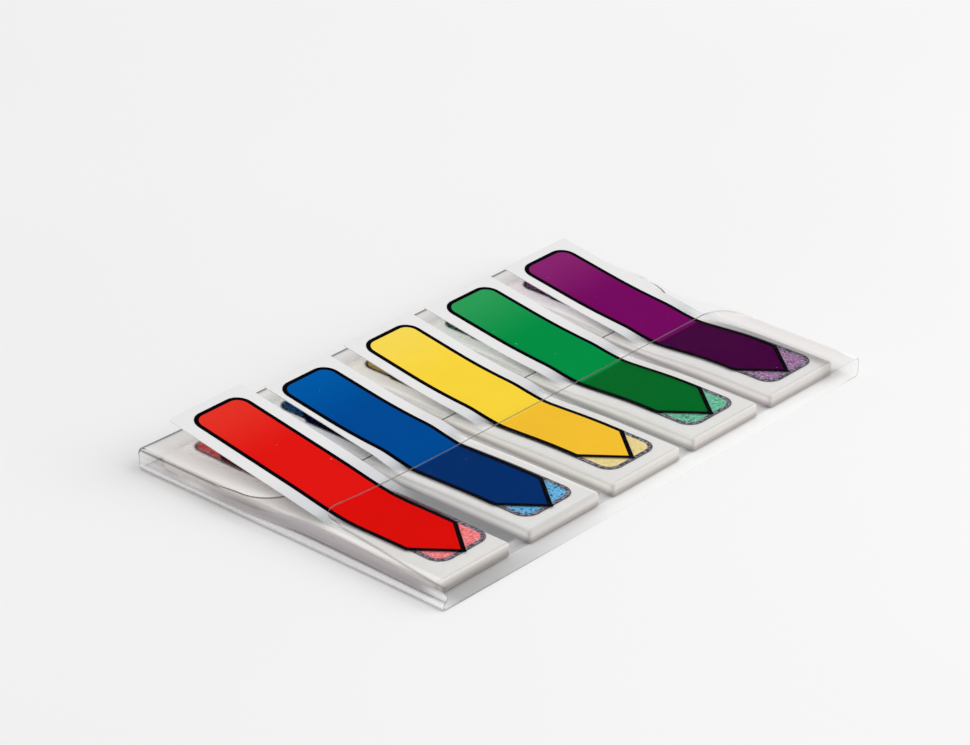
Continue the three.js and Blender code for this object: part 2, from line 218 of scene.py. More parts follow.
class Mesher:
    """Puts arrays of corners and faces into Blender meshes and hides the solids that they stand for."""

    @staticmethod
    def piece(
        name: str,
        corners: np.ndarray,
        faces: np.ndarray,
        materials: list[bpy.types.Material],
        slot: str,
        stands_for: str | None = None,
        face_materials: np.ndarray | None = None,
        attributes: dict[str, np.ndarray] | None = None,
        sharp_degrees: float = 35.0,
    ) -> bpy.types.Object:
        """Makes one finished piece that rides on the model.

        Args:
            name: Name of the piece.
            corners: Corners in millimetres, one row each.
            faces: Corner numbers of each face, three or four to a row.
            materials: The piece's materials.
            slot: Name of a material slot of a record; not used.
            stands_for: Solid that the piece replaces, if any.
            face_materials: Number of the material of each face.
            attributes: Values for the materials, one number for each corner.
            sharp_degrees: Edges that bend by more than this stay sharp.

        Returns:
            The new object.
        """
        mesh = bpy.data.meshes.new(name)
        mesh.from_pydata((corners * MM).tolist(), [], faces.tolist())
        for material in materials:
            mesh.materials.append(material)
        if face_materials is not None:
            mesh.polygons.foreach_set("material_index", face_materials.astype(np.int32))
        for title, values in (attributes or {}).items():
            layer = mesh.attributes.new(title, "FLOAT", "POINT")
            layer.data.foreach_set("value", values.astype(np.float32).ravel())
        mesh.shade_smooth()
        mesh.set_sharp_from_angle(angle=math.radians(sharp_degrees))
        mesh.update()
        thing = bpy.data.objects.new(name, mesh)
        bpy.context.scene.collection.objects.link(thing)
        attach(thing, BODY)
        if stands_for:
            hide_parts(stands_for)
        log.info("%s: %d faces", name, len(mesh.polygons))
        return thing

    @staticmethod
    def strip(
        y: np.ndarray, left: np.ndarray, right: np.ndarray, low: np.ndarray, high: np.ndarray
    ) -> tuple[np.ndarray, np.ndarray]:
        """A closed thin solid whose rows run across X, between two heights at each row.

        Args:
            y: Place of each row.
            left: Left end of each row.
            right: Right end of each row.
            low: Height of the underside at each row.
            high: Height of the top at each row.

        Returns:
            The corners, four to a row, and the faces, turned outwards.
        """
        rows = len(y)
        corners = np.stack(
            [
                np.stack([left, y, low], 1),
                np.stack([right, y, low], 1),
                np.stack([right, y, high], 1),
                np.stack([left, y, high], 1),
            ],
            1,
        ).reshape(-1, 3)
        start = 4 * np.arange(rows - 1)[:, None]
        sides = []
        for side in range(4):
            after = (side + 1) % 4
            sides.append(start + np.array([side, side + 4, after + 4, after]))
        last = 4 * (rows - 1)
        ends = np.array([[0, 1, 2, 3], [last + 3, last + 2, last + 1, last]])
        faces = np.concatenate([*sides, ends])
        if y[-1] > y[0]:
            return corners, faces
        return corners, faces[:, ::-1]

    @staticmethod
    def ring(
        outer: np.ndarray, inner: np.ndarray, low: np.ndarray, high: np.ndarray
    ) -> tuple[np.ndarray, np.ndarray]:
        """A closed thin solid between two outlines that have as many points as each other.

        Args:
            outer: Points of the outer outline, x and y, counter-clockwise from above.
            inner: Points of the inner outline.
            low: Height of the underside, for the outer points and then for the inner ones.
            high: Height of the top in the same order.

        Returns:
            The corners, four to a point, and the faces, turned outwards.
        """
        count = len(outer)
        corners = np.stack(
            [
                np.column_stack([outer, low[:count]]),
                np.column_stack([outer, high[:count]]),
                np.column_stack([inner, high[count:]]),
                np.column_stack([inner, low[count:]]),
            ],
            1,
        ).reshape(-1, 3)
        here = 4 * np.arange(count)[:, None]
        there = 4 * ((np.arange(count) + 1) % count)[:, None]
        faces = []
        for side in range(4):
            after = (side + 1) % 4
            faces.append(np.concatenate([here + side, there + side, there + after, here + after], 1))
        return corners, np.concatenate(faces)


class Recipe:
    """Adds nodes to one material and joins them."""

    def __init__(self, name: str) -> None:
        """Starts a material with its shader and the object's own coordinates.

        Args:
            name: Name of the material.
        """
        self.material = bpy.data.materials.new(name)
        self.material.use_nodes = True
        self.tree = self.material.node_tree
        self.shader = self.tree.nodes["Principled BSDF"]
        self.place = self.add("ShaderNodeTexCoord").outputs["Object"]

    def add(self, kind: str, **settings: object) -> bpy.types.Node:
        """Adds a node.

        Args:
            kind: Blender's name of the node.
            **settings: Properties to set on it.

        Returns:
            The node.
        """
        node = self.tree.nodes.new(kind)
        for key, value in settings.items():
            setattr(node, key, value)
        return node

    def join(self, source: bpy.types.NodeSocket, target: bpy.types.NodeSocket) -> None:
        """Joins an output to an input."""
        self.tree.links.new(source, target)

    def feed(self, socket: bpy.types.NodeSocket, value: object) -> None:
        """Sets a socket to a value, or joins an output to it.

        Args:
            socket: The input.
            value: A number, a colour or an output socket.
        """
        if isinstance(value, bpy.types.NodeSocket):
            self.join(value, socket)
        else:
            socket.default_value = value

    def sum(self, operation: str, first: object, second: object = 0.0) -> bpy.types.NodeSocket:
        """Works out one number from two.

        Args:
            operation: What to do with them, as Blender's Math node names it.
            first: The first number or output.
            second: The second number or output.

        Returns:
            The result.
        """
        node = self.add("ShaderNodeMath", operation=operation)
        self.feed(node.inputs[0], first)
        self.feed(node.inputs[1], second)
        return node.outputs[0]

    def ramp(
        self, value: object, start: float, end: float, low: object = 0.0, high: object = 1.0
    ) -> bpy.types.NodeSocket:
        """Carries a value between two limits smoothly from one number to another.

        Args:
            value: The output to read.
            start: Value at which the result is low.
            end: Value at which the result is high.
            low: Result before the start.
            high: Result past the end.

        Returns:
            The result.
        """
        node = self.add("ShaderNodeMapRange", interpolation_type="SMOOTHSTEP")
        self.feed(node.inputs["Value"], value)
        node.inputs["From Min"].default_value = start
        node.inputs["From Max"].default_value = end
        self.feed(node.inputs["To Min"], low)
        self.feed(node.inputs["To Max"], high)
        return node.outputs["Result"]

    def blend(self, share: object, first: object, second: object) -> bpy.types.NodeSocket:
        """Mixes two colours.

        Args:
            share: How much of the second colour, from 0 to 1.
            first: The first colour.
            second: The second colour.

        Returns:
            The mixed colour.
        """
        node = self.add("ShaderNodeMix", data_type="RGBA")
        self.feed(node.inputs["Factor"], share)
        for socket, value in ((node.inputs["A"], first), (node.inputs["B"], second)):
            if isinstance(value, tuple):
                value = (*value, 1.0)
            self.feed(socket, value)
        return node.outputs["Result"]

    def axis(self, name: str) -> bpy.types.NodeSocket:
        """Returns the object's own X, Y or Z, in metres."""
        node = self.add("ShaderNodeSeparateXYZ")
        self.join(self.place, node.inputs[0])
        return node.outputs[name]

    def reading(self, title: str) -> bpy.types.NodeSocket:
        """Returns a value that the mesh carries."""
        return self.add("ShaderNodeAttribute", attribute_name=title).outputs["Fac"]

    def effect(self, group: bpy.types.NodeTree, **values: object) -> bpy.types.Node:
        """Places a shared effect.

        Args:
            group: The effect's node group.
            **values: Its inputs by name, with _ for a space.

        Returns:
            The group's node.
        """
        node = self.add("ShaderNodeGroup", node_tree=group)
        self.join(self.place, node.inputs["Place"])
        for key, value in values.items():
            self.feed(node.inputs[key.replace("_", " ")], value)
        return node

    def bump(self, height: bpy.types.NodeSocket, strength: float, depth: float) -> None:
        """Gives the surface fine relief.

        Args:
            height: Height from 0 to 1.
            strength: How much of it shows, from 0 to 1.
            depth: What a height of 1 is, in metres.
        """
        node = self.add("ShaderNodeBump")
        node.inputs["Strength"].default_value = strength
        node.inputs["Distance"].default_value = depth
        self.join(height, node.inputs["Height"])
        self.join(node.outputs["Normal"], self.shader.inputs["Normal"])


class Effects:
    """The effects that several materials share, each built once."""

    def __init__(self) -> None:
        """Builds the groups."""
        self.grain = self._grain()
        self.flecks = self._flecks()

    @staticmethod
    def _group(name: str, inputs: dict[str, float], outputs: list[str]) -> bpy.types.NodeTree:
        """Starts a group with a place and number inputs, and number outputs.

        Args:
            name: Name of the group.
            inputs: Number inputs with their values.
            outputs: Names of the number outputs.

        Returns:
            The group, with its input and output nodes in place.
        """
        tree = bpy.data.node_groups.new(name, "ShaderNodeTree")
        tree.interface.new_socket("Place", in_out="INPUT", socket_type="NodeSocketVector")
        for title, value in inputs.items():
            socket = tree.interface.new_socket(title, in_out="INPUT", socket_type="NodeSocketFloat")
            socket.default_value = value
        for title in outputs:
            tree.interface.new_socket(title, in_out="OUTPUT", socket_type="NodeSocketFloat")
        tree.nodes.new("NodeGroupInput").name = "in"
        tree.nodes.new("NodeGroupOutput").name = "out"
        return tree

    def _grain(self) -> bpy.types.NodeTree:
        """Fine grain and slow unevenness: a Tone near 1 to multiply by, and a Height."""
        tree = self._group("Grain", {"Scale": 4000.0, "Amount": 0.05}, ["Tone", "Height"])
        source = tree.nodes["in"].outputs
        result = tree.nodes["out"].inputs
        fine = tree.nodes.new("ShaderNodeTexNoise")
        fine.inputs["Detail"].default_value = 3.0
        slow = tree.nodes.new("ShaderNodeTexNoise")
        slow.inputs["Scale"].default_value = 260.0
        slow.inputs["Detail"].default_value = 2.0
        tree.links.new(source["Place"], fine.inputs["Vector"])
        tree.links.new(source["Scale"], fine.inputs["Scale"])
        tree.links.new(source["Place"], slow.inputs["Vector"])
        both = tree.nodes.new("ShaderNodeMath")
        both.operation = "ADD"
        tree.links.new(fine.outputs["Fac"], both.inputs[0])
        tree.links.new(slow.outputs["Fac"], both.inputs[1])
        centred = tree.nodes.new("ShaderNodeMath")
        centred.operation = "SUBTRACT"
        tree.links.new(both.outputs[0], centred.inputs[0])
        centred.inputs[1].default_value = 1.0
        tone = tree.nodes.new("ShaderNodeMath")
        tone.operation = "MULTIPLY_ADD"
        tree.links.new(centred.outputs[0], tone.inputs[0])
        tree.links.new(source["Amount"], tone.inputs[1])
        tone.inputs[2].default_value = 1.0
        tree.links.new(tone.outputs[0], result["Tone"])
        tree.links.new(fine.outputs["Fac"], result["Height"])
        return tree

    def _flecks(self) -> bpy.types.NodeTree:
        """Small scattered flecks: a Mask that is 1 inside them and 0 between them."""
        tree = self._group("Flecks", {"Scale": 6000.0, "Cut": 0.5, "Blur": 0.05}, ["Mask"])
        source = tree.nodes["in"].outputs
        result = tree.nodes["out"].inputs
        noise = tree.nodes.new("ShaderNodeTexNoise")
        noise.inputs["Detail"].default_value = 1.0
        tree.links.new(source["Place"], noise.inputs["Vector"])
        tree.links.new(source["Scale"], noise.inputs["Scale"])
        over = tree.nodes.new("ShaderNodeMath")
        over.operation = "SUBTRACT"
        tree.links.new(noise.outputs["Fac"], over.inputs[0])
        tree.links.new(source["Cut"], over.inputs[1])
        steep = tree.nodes.new("ShaderNodeMath")
        steep.operation = "DIVIDE"
        steep.use_clamp = True
        tree.links.new(over.outputs[0], steep.inputs[0])
        tree.links.new(source["Blur"], steep.inputs[1])
        tree.links.new(steep.outputs[0], result["Mask"])
        return tree


@dataclass(frozen=True)
class Ink:
    """A printed field of colour: brighter where the flag is raised, darker under the cover, painted lighter at
    its raised end.
    """

    name: str
    raised: Colour
    covered: Colour
    # end: a painted highlight, the raised field's lighter colour towards its rounded end.
    end: Colour
    # under: a painted shade, the next print's colour darkened as in the shadow of the raised flag.
    under: Colour
    veil: Colour
    veil_deep: Colour
    veil_pale: Colour
    depth_below: float
    fleck_cut: float = 0.53
    # Strength of a painted glow on the veiled front part of the next field.
    painted_veil_glow: float = 0.16
    cover_edge: float = -2.15
    veil_ends: float = -14.0

    def _veiled(self, recipe: Recipe, effects: Effects) -> bpy.types.NodeSocket:
        """The colour as it shows in flecks through the flag above.

        Args:
            recipe: The material that it is for.
            effects: The shared effects.

        Returns:
            The colour.
        """
        dark = recipe.effect(effects.flecks, Scale=2500.0, Cut=self.fleck_cut, Blur=0.13)
        pale = recipe.effect(effects.flecks, Scale=3100.0, Cut=self.fleck_cut, Blur=0.13)
        colour = recipe.blend(dark.outputs["Mask"], self.veil, self.veil_deep)
        return recipe.blend(recipe.sum("MULTIPLY", pale.outputs["Mask"], 0.7), colour, self.veil_pale)

    def material(self, effects: Effects) -> bpy.types.Material:
        """Builds the material of the top flag's field.

        Args:
            effects: The shared effects.

        Returns:
            The material.
        """
        recipe = Recipe(f"{self.name} ink")
        grain = recipe.effect(effects.grain, Scale=5200.0, Amount=0.07)
        pinholes = recipe.effect(effects.flecks, Scale=2300.0, Cut=0.8, Blur=0.02)
        along = recipe.axis("Y")
        edge = self.cover_edge * MM
        covered = recipe.ramp(along, edge + 0.06 * MM, edge - 0.06 * MM)
        # Painted highlight: the raised field turns towards the lighter end colour near its rounded end.
        colour = recipe.blend(recipe.ramp(along, 9 * MM, 21 * MM), self.raised, self.end)
        below_film = tuple(min(1.0, channel / COVER_PASS) for channel in self.covered)
        colour = recipe.blend(covered, colour, below_film)
        tone = recipe.add("ShaderNodeMix", data_type="RGBA", blend_type="MULTIPLY")
        tone.inputs["Factor"].default_value = 1.0
        recipe.join(colour, tone.inputs["A"])
        recipe.join(grain.outputs["Tone"], tone.inputs["B"])
        specked = recipe.blend(
            recipe.sum("MULTIPLY", pinholes.outputs["Mask"], 0.35), tone.outputs["Result"], (0.75,) * 3
        )
        recipe.join(specked, recipe.shader.inputs["Base Color"])
        recipe.shader.inputs["Roughness"].default_value = 0.34
        recipe.shader.inputs["IOR"].default_value = INK_GLOSS
        recipe.bump(grain.outputs["Height"], 0.12, 0.02 * MM)
        return recipe.material

    def under_material(self, effects: Effects) -> bpy.types.Material:
        """Builds the material of the next flag's field: veiled in front with a painted glow, and behind a plain
        dark colour that is painted shade from the raised flag above.

        Args:
            effects: The shared effects.

        Returns:
            The material.
        """
        recipe = Recipe(f"{self.name} ink below")
        grain = recipe.effect(effects.grain, Scale=3600.0, Amount=0.3)
        tone = recipe.add("ShaderNodeMix", data_type="RGBA", blend_type="MULTIPLY")
        tone.inputs["Factor"].default_value = 1.0
        tone.inputs["A"].default_value = (*self.under, 1.0)
        recipe.join(grain.outputs["Tone"], tone.inputs["B"])
        # Behind, the field takes the under colour, a painted shade from the raised flag above.
        behind = recipe.ramp(recipe.axis("Y"), self.veil_ends * MM, (self.veil_ends + 3) * MM)
        colour = recipe.blend(behind, self._veiled(recipe, effects), tone.outputs["Result"])
        recipe.join(colour, recipe.shader.inputs["Base Color"])
        # Painted glow: the veiled front part of the field gives off light as emission.
        recipe.join(recipe.blend(behind, colour, (0.0, 0.0, 0.0)), recipe.shader.inputs["Emission Color"])
        recipe.shader.inputs["Emission Strength"].default_value = self.painted_veil_glow
        recipe.shader.inputs["Roughness"].default_value = 0.5
        recipe.shader.inputs["IOR"].default_value = INK_GLOSS
        recipe.bump(grain.outputs["Height"], 0.15, 0.02 * MM)
        return recipe.material

    def veiled_material(self, effects: Effects) -> bpy.types.Material:
        """Builds the material of a field that shows only in flecks.

        Args:
            effects: The shared effects.

        Returns:
            The material.
        """
        recipe = Recipe(f"{self.name} ink veiled")
        # The deep colour mixes in the under colour, a painted shade.
        deep = recipe.blend(0.5, self.raised, self.under)
        colour = recipe.blend(self.depth_below, self._veiled(recipe, effects), deep)
        recipe.join(colour, recipe.shader.inputs["Base Color"])
        recipe.shader.inputs["Roughness"].default_value = 0.6
        recipe.shader.inputs["IOR"].default_value = INK_GLOSS
        return recipe.material


@dataclass(frozen=True)
class BlackInk:
    """The black outline of the prints, plain or in dots through the flag above it."""

    field: Ink
    colour: Colour = linear(9, 6, 12)
    dots: Colour = linear(30, 24, 42)
    between: Colour = linear(150, 142, 158)
    veil_ends: float = -14.0

    def material(self, effects: Effects, layer: Layer) -> bpy.types.Material:
        """Builds the material.

        Args:
            effects: The shared effects.
            layer: Flag that the outline is on: the next one is veiled in front, the third is
                veiled all over.

        Returns:
            The material.
        """
        recipe = Recipe(f"{self.field.name} outline {layer.value}")
        grain = recipe.effect(effects.grain, Scale=4200.0, Amount=0.4)
        tone = recipe.add("ShaderNodeMix", data_type="RGBA", blend_type="MULTIPLY")
        tone.inputs["Factor"].default_value = 1.0
        tone.inputs["A"].default_value = (*self.colour, 1.0)
        recipe.join(grain.outputs["Tone"], tone.inputs["B"])
        colour = tone.outputs["Result"]
        if layer is not Layer.TOP:
            spots = recipe.effect(effects.flecks, Scale=2600.0, Cut=0.46, Blur=0.08)
            dotted = recipe.blend(spots.outputs["Mask"], self.between, self.dots)
            ends = self.veil_ends * MM
            behind = recipe.ramp(recipe.axis("Y"), ends, ends + 3 * MM)
            if layer is Layer.NEXT:
                # The deep colour mixes in the field's under colour, a painted shade.
                deep = recipe.blend(0.45, self.colour, self.field.under)
                colour = recipe.blend(behind, dotted, deep)
                inward = recipe.ramp(recipe.reading("inward"), 0.0, 0.75, 0.15)
                in_dots = recipe.ramp(recipe.reading("inward"), 0.0, 0.45, 0.3)
                recipe.join(recipe.ramp(behind, 0.0, 1.0, in_dots, inward), recipe.shader.inputs["Alpha"])
            else:
                # The outline mixes in the field's under colour, a painted shade.
                colour = recipe.blend(0.5, dotted, recipe.blend(0.3, self.colour, self.field.under))
                inward = recipe.ramp(recipe.reading("inward"), 0.0, 1.0)
                recipe.join(inward, recipe.shader.inputs["Alpha"])
        recipe.join(colour, recipe.shader.inputs["Base Color"])
        recipe.shader.inputs["Roughness"].default_value = 0.4
        recipe.shader.inputs["IOR"].default_value = INK_GLOSS
        recipe.bump(grain.outputs["Height"], 0.1, 0.02 * MM)
        return recipe.material


@dataclass(frozen=True)
class FrostedFilm:
    """The flags' film: it shows what it touches, and hides what lies far below it."""

    colour: Colour = linear(241, 240, 240)
    # Painted shade: a darker bluish grey for the film where the raised flag bends up.
    bend_shade_colour: Colour = linear(218, 220, 224)
    touching: float = 0.05
    raised: float = 0.93
    clears_at: float = 0.6

    def material(self, effects: Effects) -> bpy.types.Material:
        """Builds the material. It reads the gap below the film, which the mesh carries.

        Args:
            effects: The shared effects.

        Returns:
            The material.
        """
        recipe = Recipe("frosted film")
        grain = recipe.effect(effects.grain, Scale=3300.0, Amount=0.05)
        alpha = recipe.ramp(recipe.reading("gap"), 0.02, self.clears_at, self.touching, self.raised)
        tone = recipe.add("ShaderNodeMix", data_type="RGBA", blend_type="MULTIPLY")
        tone.inputs["Factor"].default_value = 1.0
        # Painted shade: the film turns towards the darker bluish grey near the bend.
        bend_shade = recipe.ramp(recipe.axis("Y"), 8 * MM, -2 * MM)
        recipe.join(recipe.blend(bend_shade, self.colour, self.bend_shade_colour), tone.inputs["A"])
        recipe.join(grain.outputs["Tone"], tone.inputs["B"])
        recipe.join(tone.outputs["Result"], recipe.shader.inputs["Base Color"])
        recipe.join(alpha, recipe.shader.inputs["Alpha"])
        recipe.shader.inputs["Roughness"].default_value = 0.55
        recipe.shader.inputs["Specular IOR Level"].default_value = 0.2
        recipe.bump(grain.outputs["Height"], 0.2, 0.03 * MM)
        return recipe.material


@dataclass(frozen=True)
class LeafEdges:
    """The pads' stacked film: pale on top, with painted shade that makes it darker and warmer towards the foot of
    the stack and on the front faces, and a painted glow.
    """

    name: str
    # The tint of a painted glow given off by the stack.
    painted_glow: Colour
    top: Colour = linear(249, 247, 243)
    # foot: the painted shade colour at the foot of the stack.
    foot: Colour = linear(160, 150, 147)
    # face: the painted shade colour of the front faces.
    face: Colour = linear(194, 187, 182)
    shade_from: float = 0.6
    shade_to: float = 0.02
    # Strength and reach along Y of the painted glow.
    painted_glow_strength: float = 0.32
    painted_glow_from: float = 1.0
    painted_glow_to: float = 15.0

    def material(self, effects: Effects) -> bpy.types.Material:
        """Builds the material.

        Args:
            effects: The shared effects.

        Returns:
            The material.
        """
        recipe = Recipe(f"stacked film {self.name}")
        grain = recipe.effect(effects.grain, Scale=2600.0, Amount=0.08)
        stretch = recipe.add("ShaderNodeMapping")
        stretch.inputs["Scale"].default_value = (120.0, 120.0, 14000.0)
        recipe.join(recipe.place, stretch.inputs["Vector"])
        leaves = recipe.add("ShaderNodeTexNoise")
        leaves.inputs["Scale"].default_value = 1.0
        leaves.inputs["Detail"].default_value = 2.0
        recipe.join(stretch.outputs["Vector"], leaves.inputs["Vector"])
        # Painted shade: lower in the stack the colour turns towards the foot colour, less so towards the rear.
        low = recipe.ramp(recipe.reading("up"), self.shade_from, self.shade_to)
        low = recipe.sum("MULTIPLY", low, recipe.ramp(recipe.axis("Y"), 4 * MM, 17 * MM, 1.0, 0.25))
        colour = recipe.blend(low, self.top, self.foot)
        # Painted shade: the front faces turn towards the darker face colour.
        face = recipe.ramp(recipe.axis("Y"), -20.8 * MM, -21.2 * MM, 0.0, 0.5)
        colour = recipe.blend(face, colour, self.face)
        leafy = recipe.ramp(leaves.outputs["Fac"], 0.3, 0.7, 0.98, 1.01)
        shade = recipe.sum("MULTIPLY", leafy, grain.outputs["Tone"])
        tone = recipe.add("ShaderNodeMix", data_type="RGBA", blend_type="MULTIPLY")
        tone.inputs["Factor"].default_value = 1.0
        recipe.join(colour, tone.inputs["A"])
        recipe.join(shade, tone.inputs["B"])
        recipe.join(tone.outputs["Result"], recipe.shader.inputs["Base Color"])
        recipe.shader.inputs["Roughness"].default_value = 0.5
        recipe.shader.inputs["Specular IOR Level"].default_value = 0.2
        recipe.bump(leaves.outputs["Fac"], 0.12, 0.02 * MM)
        # Painted glow: emission on the stack's top towards the rear, under the raised flags, and on its low sides
        # near the front.
        behind = recipe.ramp(recipe.axis("Y"), self.painted_glow_from * MM, self.painted_glow_to * MM, 0.15)
        on_top = recipe.ramp(recipe.reading("up"), 0.6, 1.0)
        aside = recipe.ramp(recipe.axis("Y"), -21.2 * MM, -20.2 * MM, 0.0, 0.4)
        aside = recipe.sum("MULTIPLY", aside, recipe.ramp(recipe.reading("up"), 0.9, 0.6))
        share = recipe.sum("MAXIMUM", recipe.sum("MULTIPLY", behind, on_top), aside)
        lit = recipe.blend(share, (0.0, 0.0, 0.0), self.painted_glow)
        recipe.join(lit, recipe.shader.inputs["Emission Color"])
        recipe.shader.inputs["Emission Strength"].default_value = self.painted_glow_strength
        return recipe.material


@dataclass(frozen=True)
class ClearFilm:
    """The sleeve's film: it darkens a little what lies behind it, most at its folds and edges, and carries
    painted highlights, glow and shade.
    """

    shade: Colour = linear(40, 36, 38)
    light: Colour = linear(252, 252, 252)
    body: float = 0.016
    crease_and_shade: float = 0.5
    glint: float = 0.45
    glance: float = 0.05
    edge_dark: Colour = linear(72, 66, 66)
    edge_pale: Colour = linear(134, 128, 128)
    edge: float = 0.8
    # A pale painted veil, with a painted glow, that covers shade seen through the film.
    painted_veil_colour: Colour = linear(240, 237, 235)
    # The purple-grey of a painted shade band on the near wall.
    wall_shade_colour: Colour = linear(202, 195, 199)
    veil: float = 0.6

    def material(self, effects: Effects) -> bpy.types.Material:
        """Builds the material of the film's faces. It reads the creases and painted shadow, the painted
        highlights, the painted veil and the painted wall shade that the mesh carries.

        Args:
            effects: The shared effects.

        Returns:
            The material.
        """
        recipe = Recipe("clear film")
        grain = recipe.effect(effects.grain, Scale=900.0, Amount=0.2)
        glance = recipe.add("ShaderNodeLayerWeight")
        glance.inputs["Blend"].default_value = 0.25
        facing = recipe.sum("MULTIPLY", recipe.sum("POWER", glance.outputs["Facing"], 4.0), self.glance)
        # Fold lines, and on the base a painted shadow, darken the film.
        crease_and_shade = recipe.sum("MULTIPLY", recipe.reading("crease_and_shade"), self.crease_and_shade)
        alpha = recipe.sum("ADD", recipe.sum("MULTIPLY", grain.outputs["Tone"], self.body), facing)
        alpha = recipe.sum("ADD", alpha, crease_and_shade)
        streaks = recipe.add("ShaderNodeMapping")
        streaks.inputs["Scale"].default_value = (60.0, 18.0, 2400.0)
        recipe.join(recipe.place, streaks.inputs["Vector"])
        streak = recipe.add("ShaderNodeTexNoise")
        streak.inputs["Scale"].default_value = 1.0
        recipe.join(streaks.outputs["Vector"], streak.inputs["Vector"])
        glint = recipe.sum("MULTIPLY", recipe.reading("glint"), recipe.ramp(streak.outputs["Fac"], 0.3, 0.7, 0.6))
        alpha = recipe.sum("ADD", alpha, recipe.sum("MULTIPLY", glint, self.glint))
        veil = recipe.sum("MULTIPLY", recipe.reading("veil"), self.veil)
        # Painted shade: a purple-grey band on the near wall.
        wall_shade = recipe.sum("MULTIPLY", recipe.reading("wall_shade"), self.veil)
        alpha = recipe.sum("ADD", alpha, recipe.sum("ADD", veil, wall_shade))
        recipe.join(alpha, recipe.shader.inputs["Alpha"])
        colour = recipe.blend(recipe.ramp(veil, 0.0, 0.15), self.shade, self.painted_veil_colour)
        colour = recipe.blend(recipe.ramp(wall_shade, 0.0, 0.15), colour, self.wall_shade_colour)
        # Painted highlight: the glint turns the film towards white.
        colour = recipe.blend(recipe.ramp(glint, 0.0, 0.25), colour, self.light)
        colour = recipe.blend(recipe.ramp(crease_and_shade, 0.02, 0.2), colour, self.shade)
        recipe.join(colour, recipe.shader.inputs["Base Color"])
        recipe.shader.inputs["Roughness"].default_value = 0.08
        recipe.shader.inputs["Specular IOR Level"].default_value = 0.2
        # Painted glow: the veil lights the film as emission, a little more towards the rear.
        lit = recipe.sum("MULTIPLY", veil, recipe.ramp(recipe.axis("Y"), -2 * MM, 2 * MM, 0.4, 0.5))
        bright = recipe.blend(lit, (0.0, 0.0, 0.0), self.light)
        # Painted highlight: the glint also lights the film as emission.
        bright = recipe.blend(glint, bright, self.light)
        recipe.join(bright, recipe.shader.inputs["Emission Color"])
        recipe.shader.inputs["Emission Strength"].default_value = 0.35
        recipe.bump(grain.outputs["Height"], 0.05, 0.02 * MM)
        return recipe.material

    def edge_material(self, effects: Effects) -> bpy.types.Material:
        """Builds the material of the film's cut edges.

        Args:
            effects: The shared effects.

        Returns:
            The material.
        """
        recipe = Recipe("clear film edge")
        grain = recipe.effect(effects.grain, Scale=1500.0, Amount=0.5)
        behind = recipe.ramp(recipe.axis("Y"), 0.0, 2.0 * MM)
        colour = recipe.blend(behind, self.edge_pale, self.edge_dark)
        recipe.join(colour, recipe.shader.inputs["Base Color"])
        alpha = recipe.sum("MULTIPLY", grain.outputs["Tone"], self.edge)
        alpha = recipe.sum("MULTIPLY", alpha, recipe.reading("cut"))
        recipe.join(alpha, recipe.shader.inputs["Alpha"])
        recipe.shader.inputs["Roughness"].default_value = 0.3
        return recipe.material


@dataclass
class Finishes:
    """All finishes, built once."""

    effects: Effects

    def __post_init__(self) -> None:
        """Builds the materials."""
        # Each tint lists raised, covered, end (a painted highlight), under (a painted shade), veil, veil_deep and
        # veil_pale.
        looks = {
            Tint.RED: [
                (226, 22, 18),
                (207, 8, 4),
                (230, 52, 40),
                (120, 14, 46),
                (250, 112, 116),
                (226, 60, 72),
                (255, 188, 184),
            ],
            Tint.BLUE: [
                (0, 74, 149),
                (0, 42, 100),
                (0, 91, 168),
                (8, 22, 74),
                (70, 176, 230),
                (8, 56, 116),
                (138, 210, 242),
            ],
            Tint.YELLOW: [
                (250, 214, 60),
                (241, 181, 45),
                (248, 218, 86),
                (150, 124, 44),
                (242, 220, 142),
                (226, 202, 122),
                (246, 230, 166),
            ],
            Tint.GREEN: [
                (2, 142, 68),
                (0, 97, 33),
                (46, 157, 88),
                (14, 74, 46),
                (82, 190, 150),
                (16, 118, 82),
                (156, 218, 192),
            ],
            Tint.PURPLE: [
                (116, 8, 95),
                (61, 0, 55),
                (136, 38, 110),
                (72, 16, 60),
                (150, 98, 150),
                (66, 24, 76),
                (214, 182, 214),
            ],
        }
        depths = {Tint.RED: 0.1, Tint.BLUE: 0.8, Tint.YELLOW: 0.5, Tint.GREEN: 0.6, Tint.PURPLE: 0.3}
        self.inks = {
            tint: Ink(tint.value, *(linear(*colour) for colour in colours), depth_below=depths[tint])
            for tint, colours in looks.items()
        }
        self.fields = {
            Layer.TOP: {tint: ink.material(self.effects) for tint, ink in self.inks.items()},
            Layer.NEXT: {tint: ink.under_material(self.effects) for tint, ink in self.inks.items()},
            Layer.THIRD: {tint: ink.veiled_material(self.effects) for tint, ink in self.inks.items()},
        }
        self.black = {
            layer: {tint: BlackInk(ink).material(self.effects, layer) for tint, ink in self.inks.items()}
            for layer in Layer
        }
        self.frosted = FrostedFilm().material(self.effects)
        # Tints of the painted glow of each pad.
        painted_glows = {
            Tint.RED: (255, 240, 238),
            Tint.BLUE: (240, 246, 255),
            Tint.YELLOW: (255, 252, 240),
            Tint.GREEN: (240, 252, 244),
            Tint.PURPLE: (252, 240, 252),
        }
        # Painted shade colours for the feet of the stacks: darker for red and blue, pale for the rest; red's
        # shade also starts higher.
        shaded_feet = {Tint.RED: linear(104, 94, 92), Tint.BLUE: linear(148, 139, 137)}
        pale = linear(164, 156, 152)
        self.leaves = {
            tint: LeafEdges(
                tint.value,
                linear(*painted_glow),
                foot=shaded_feet.get(tint, pale),
                shade_from=0.95 if tint is Tint.RED else 0.6,
            ).material(self.effects)
            for tint, painted_glow in painted_glows.items()
        }
        self.film = ClearFilm().material(self.effects)
        self.film_edge = ClearFilm().edge_material(self.effects)


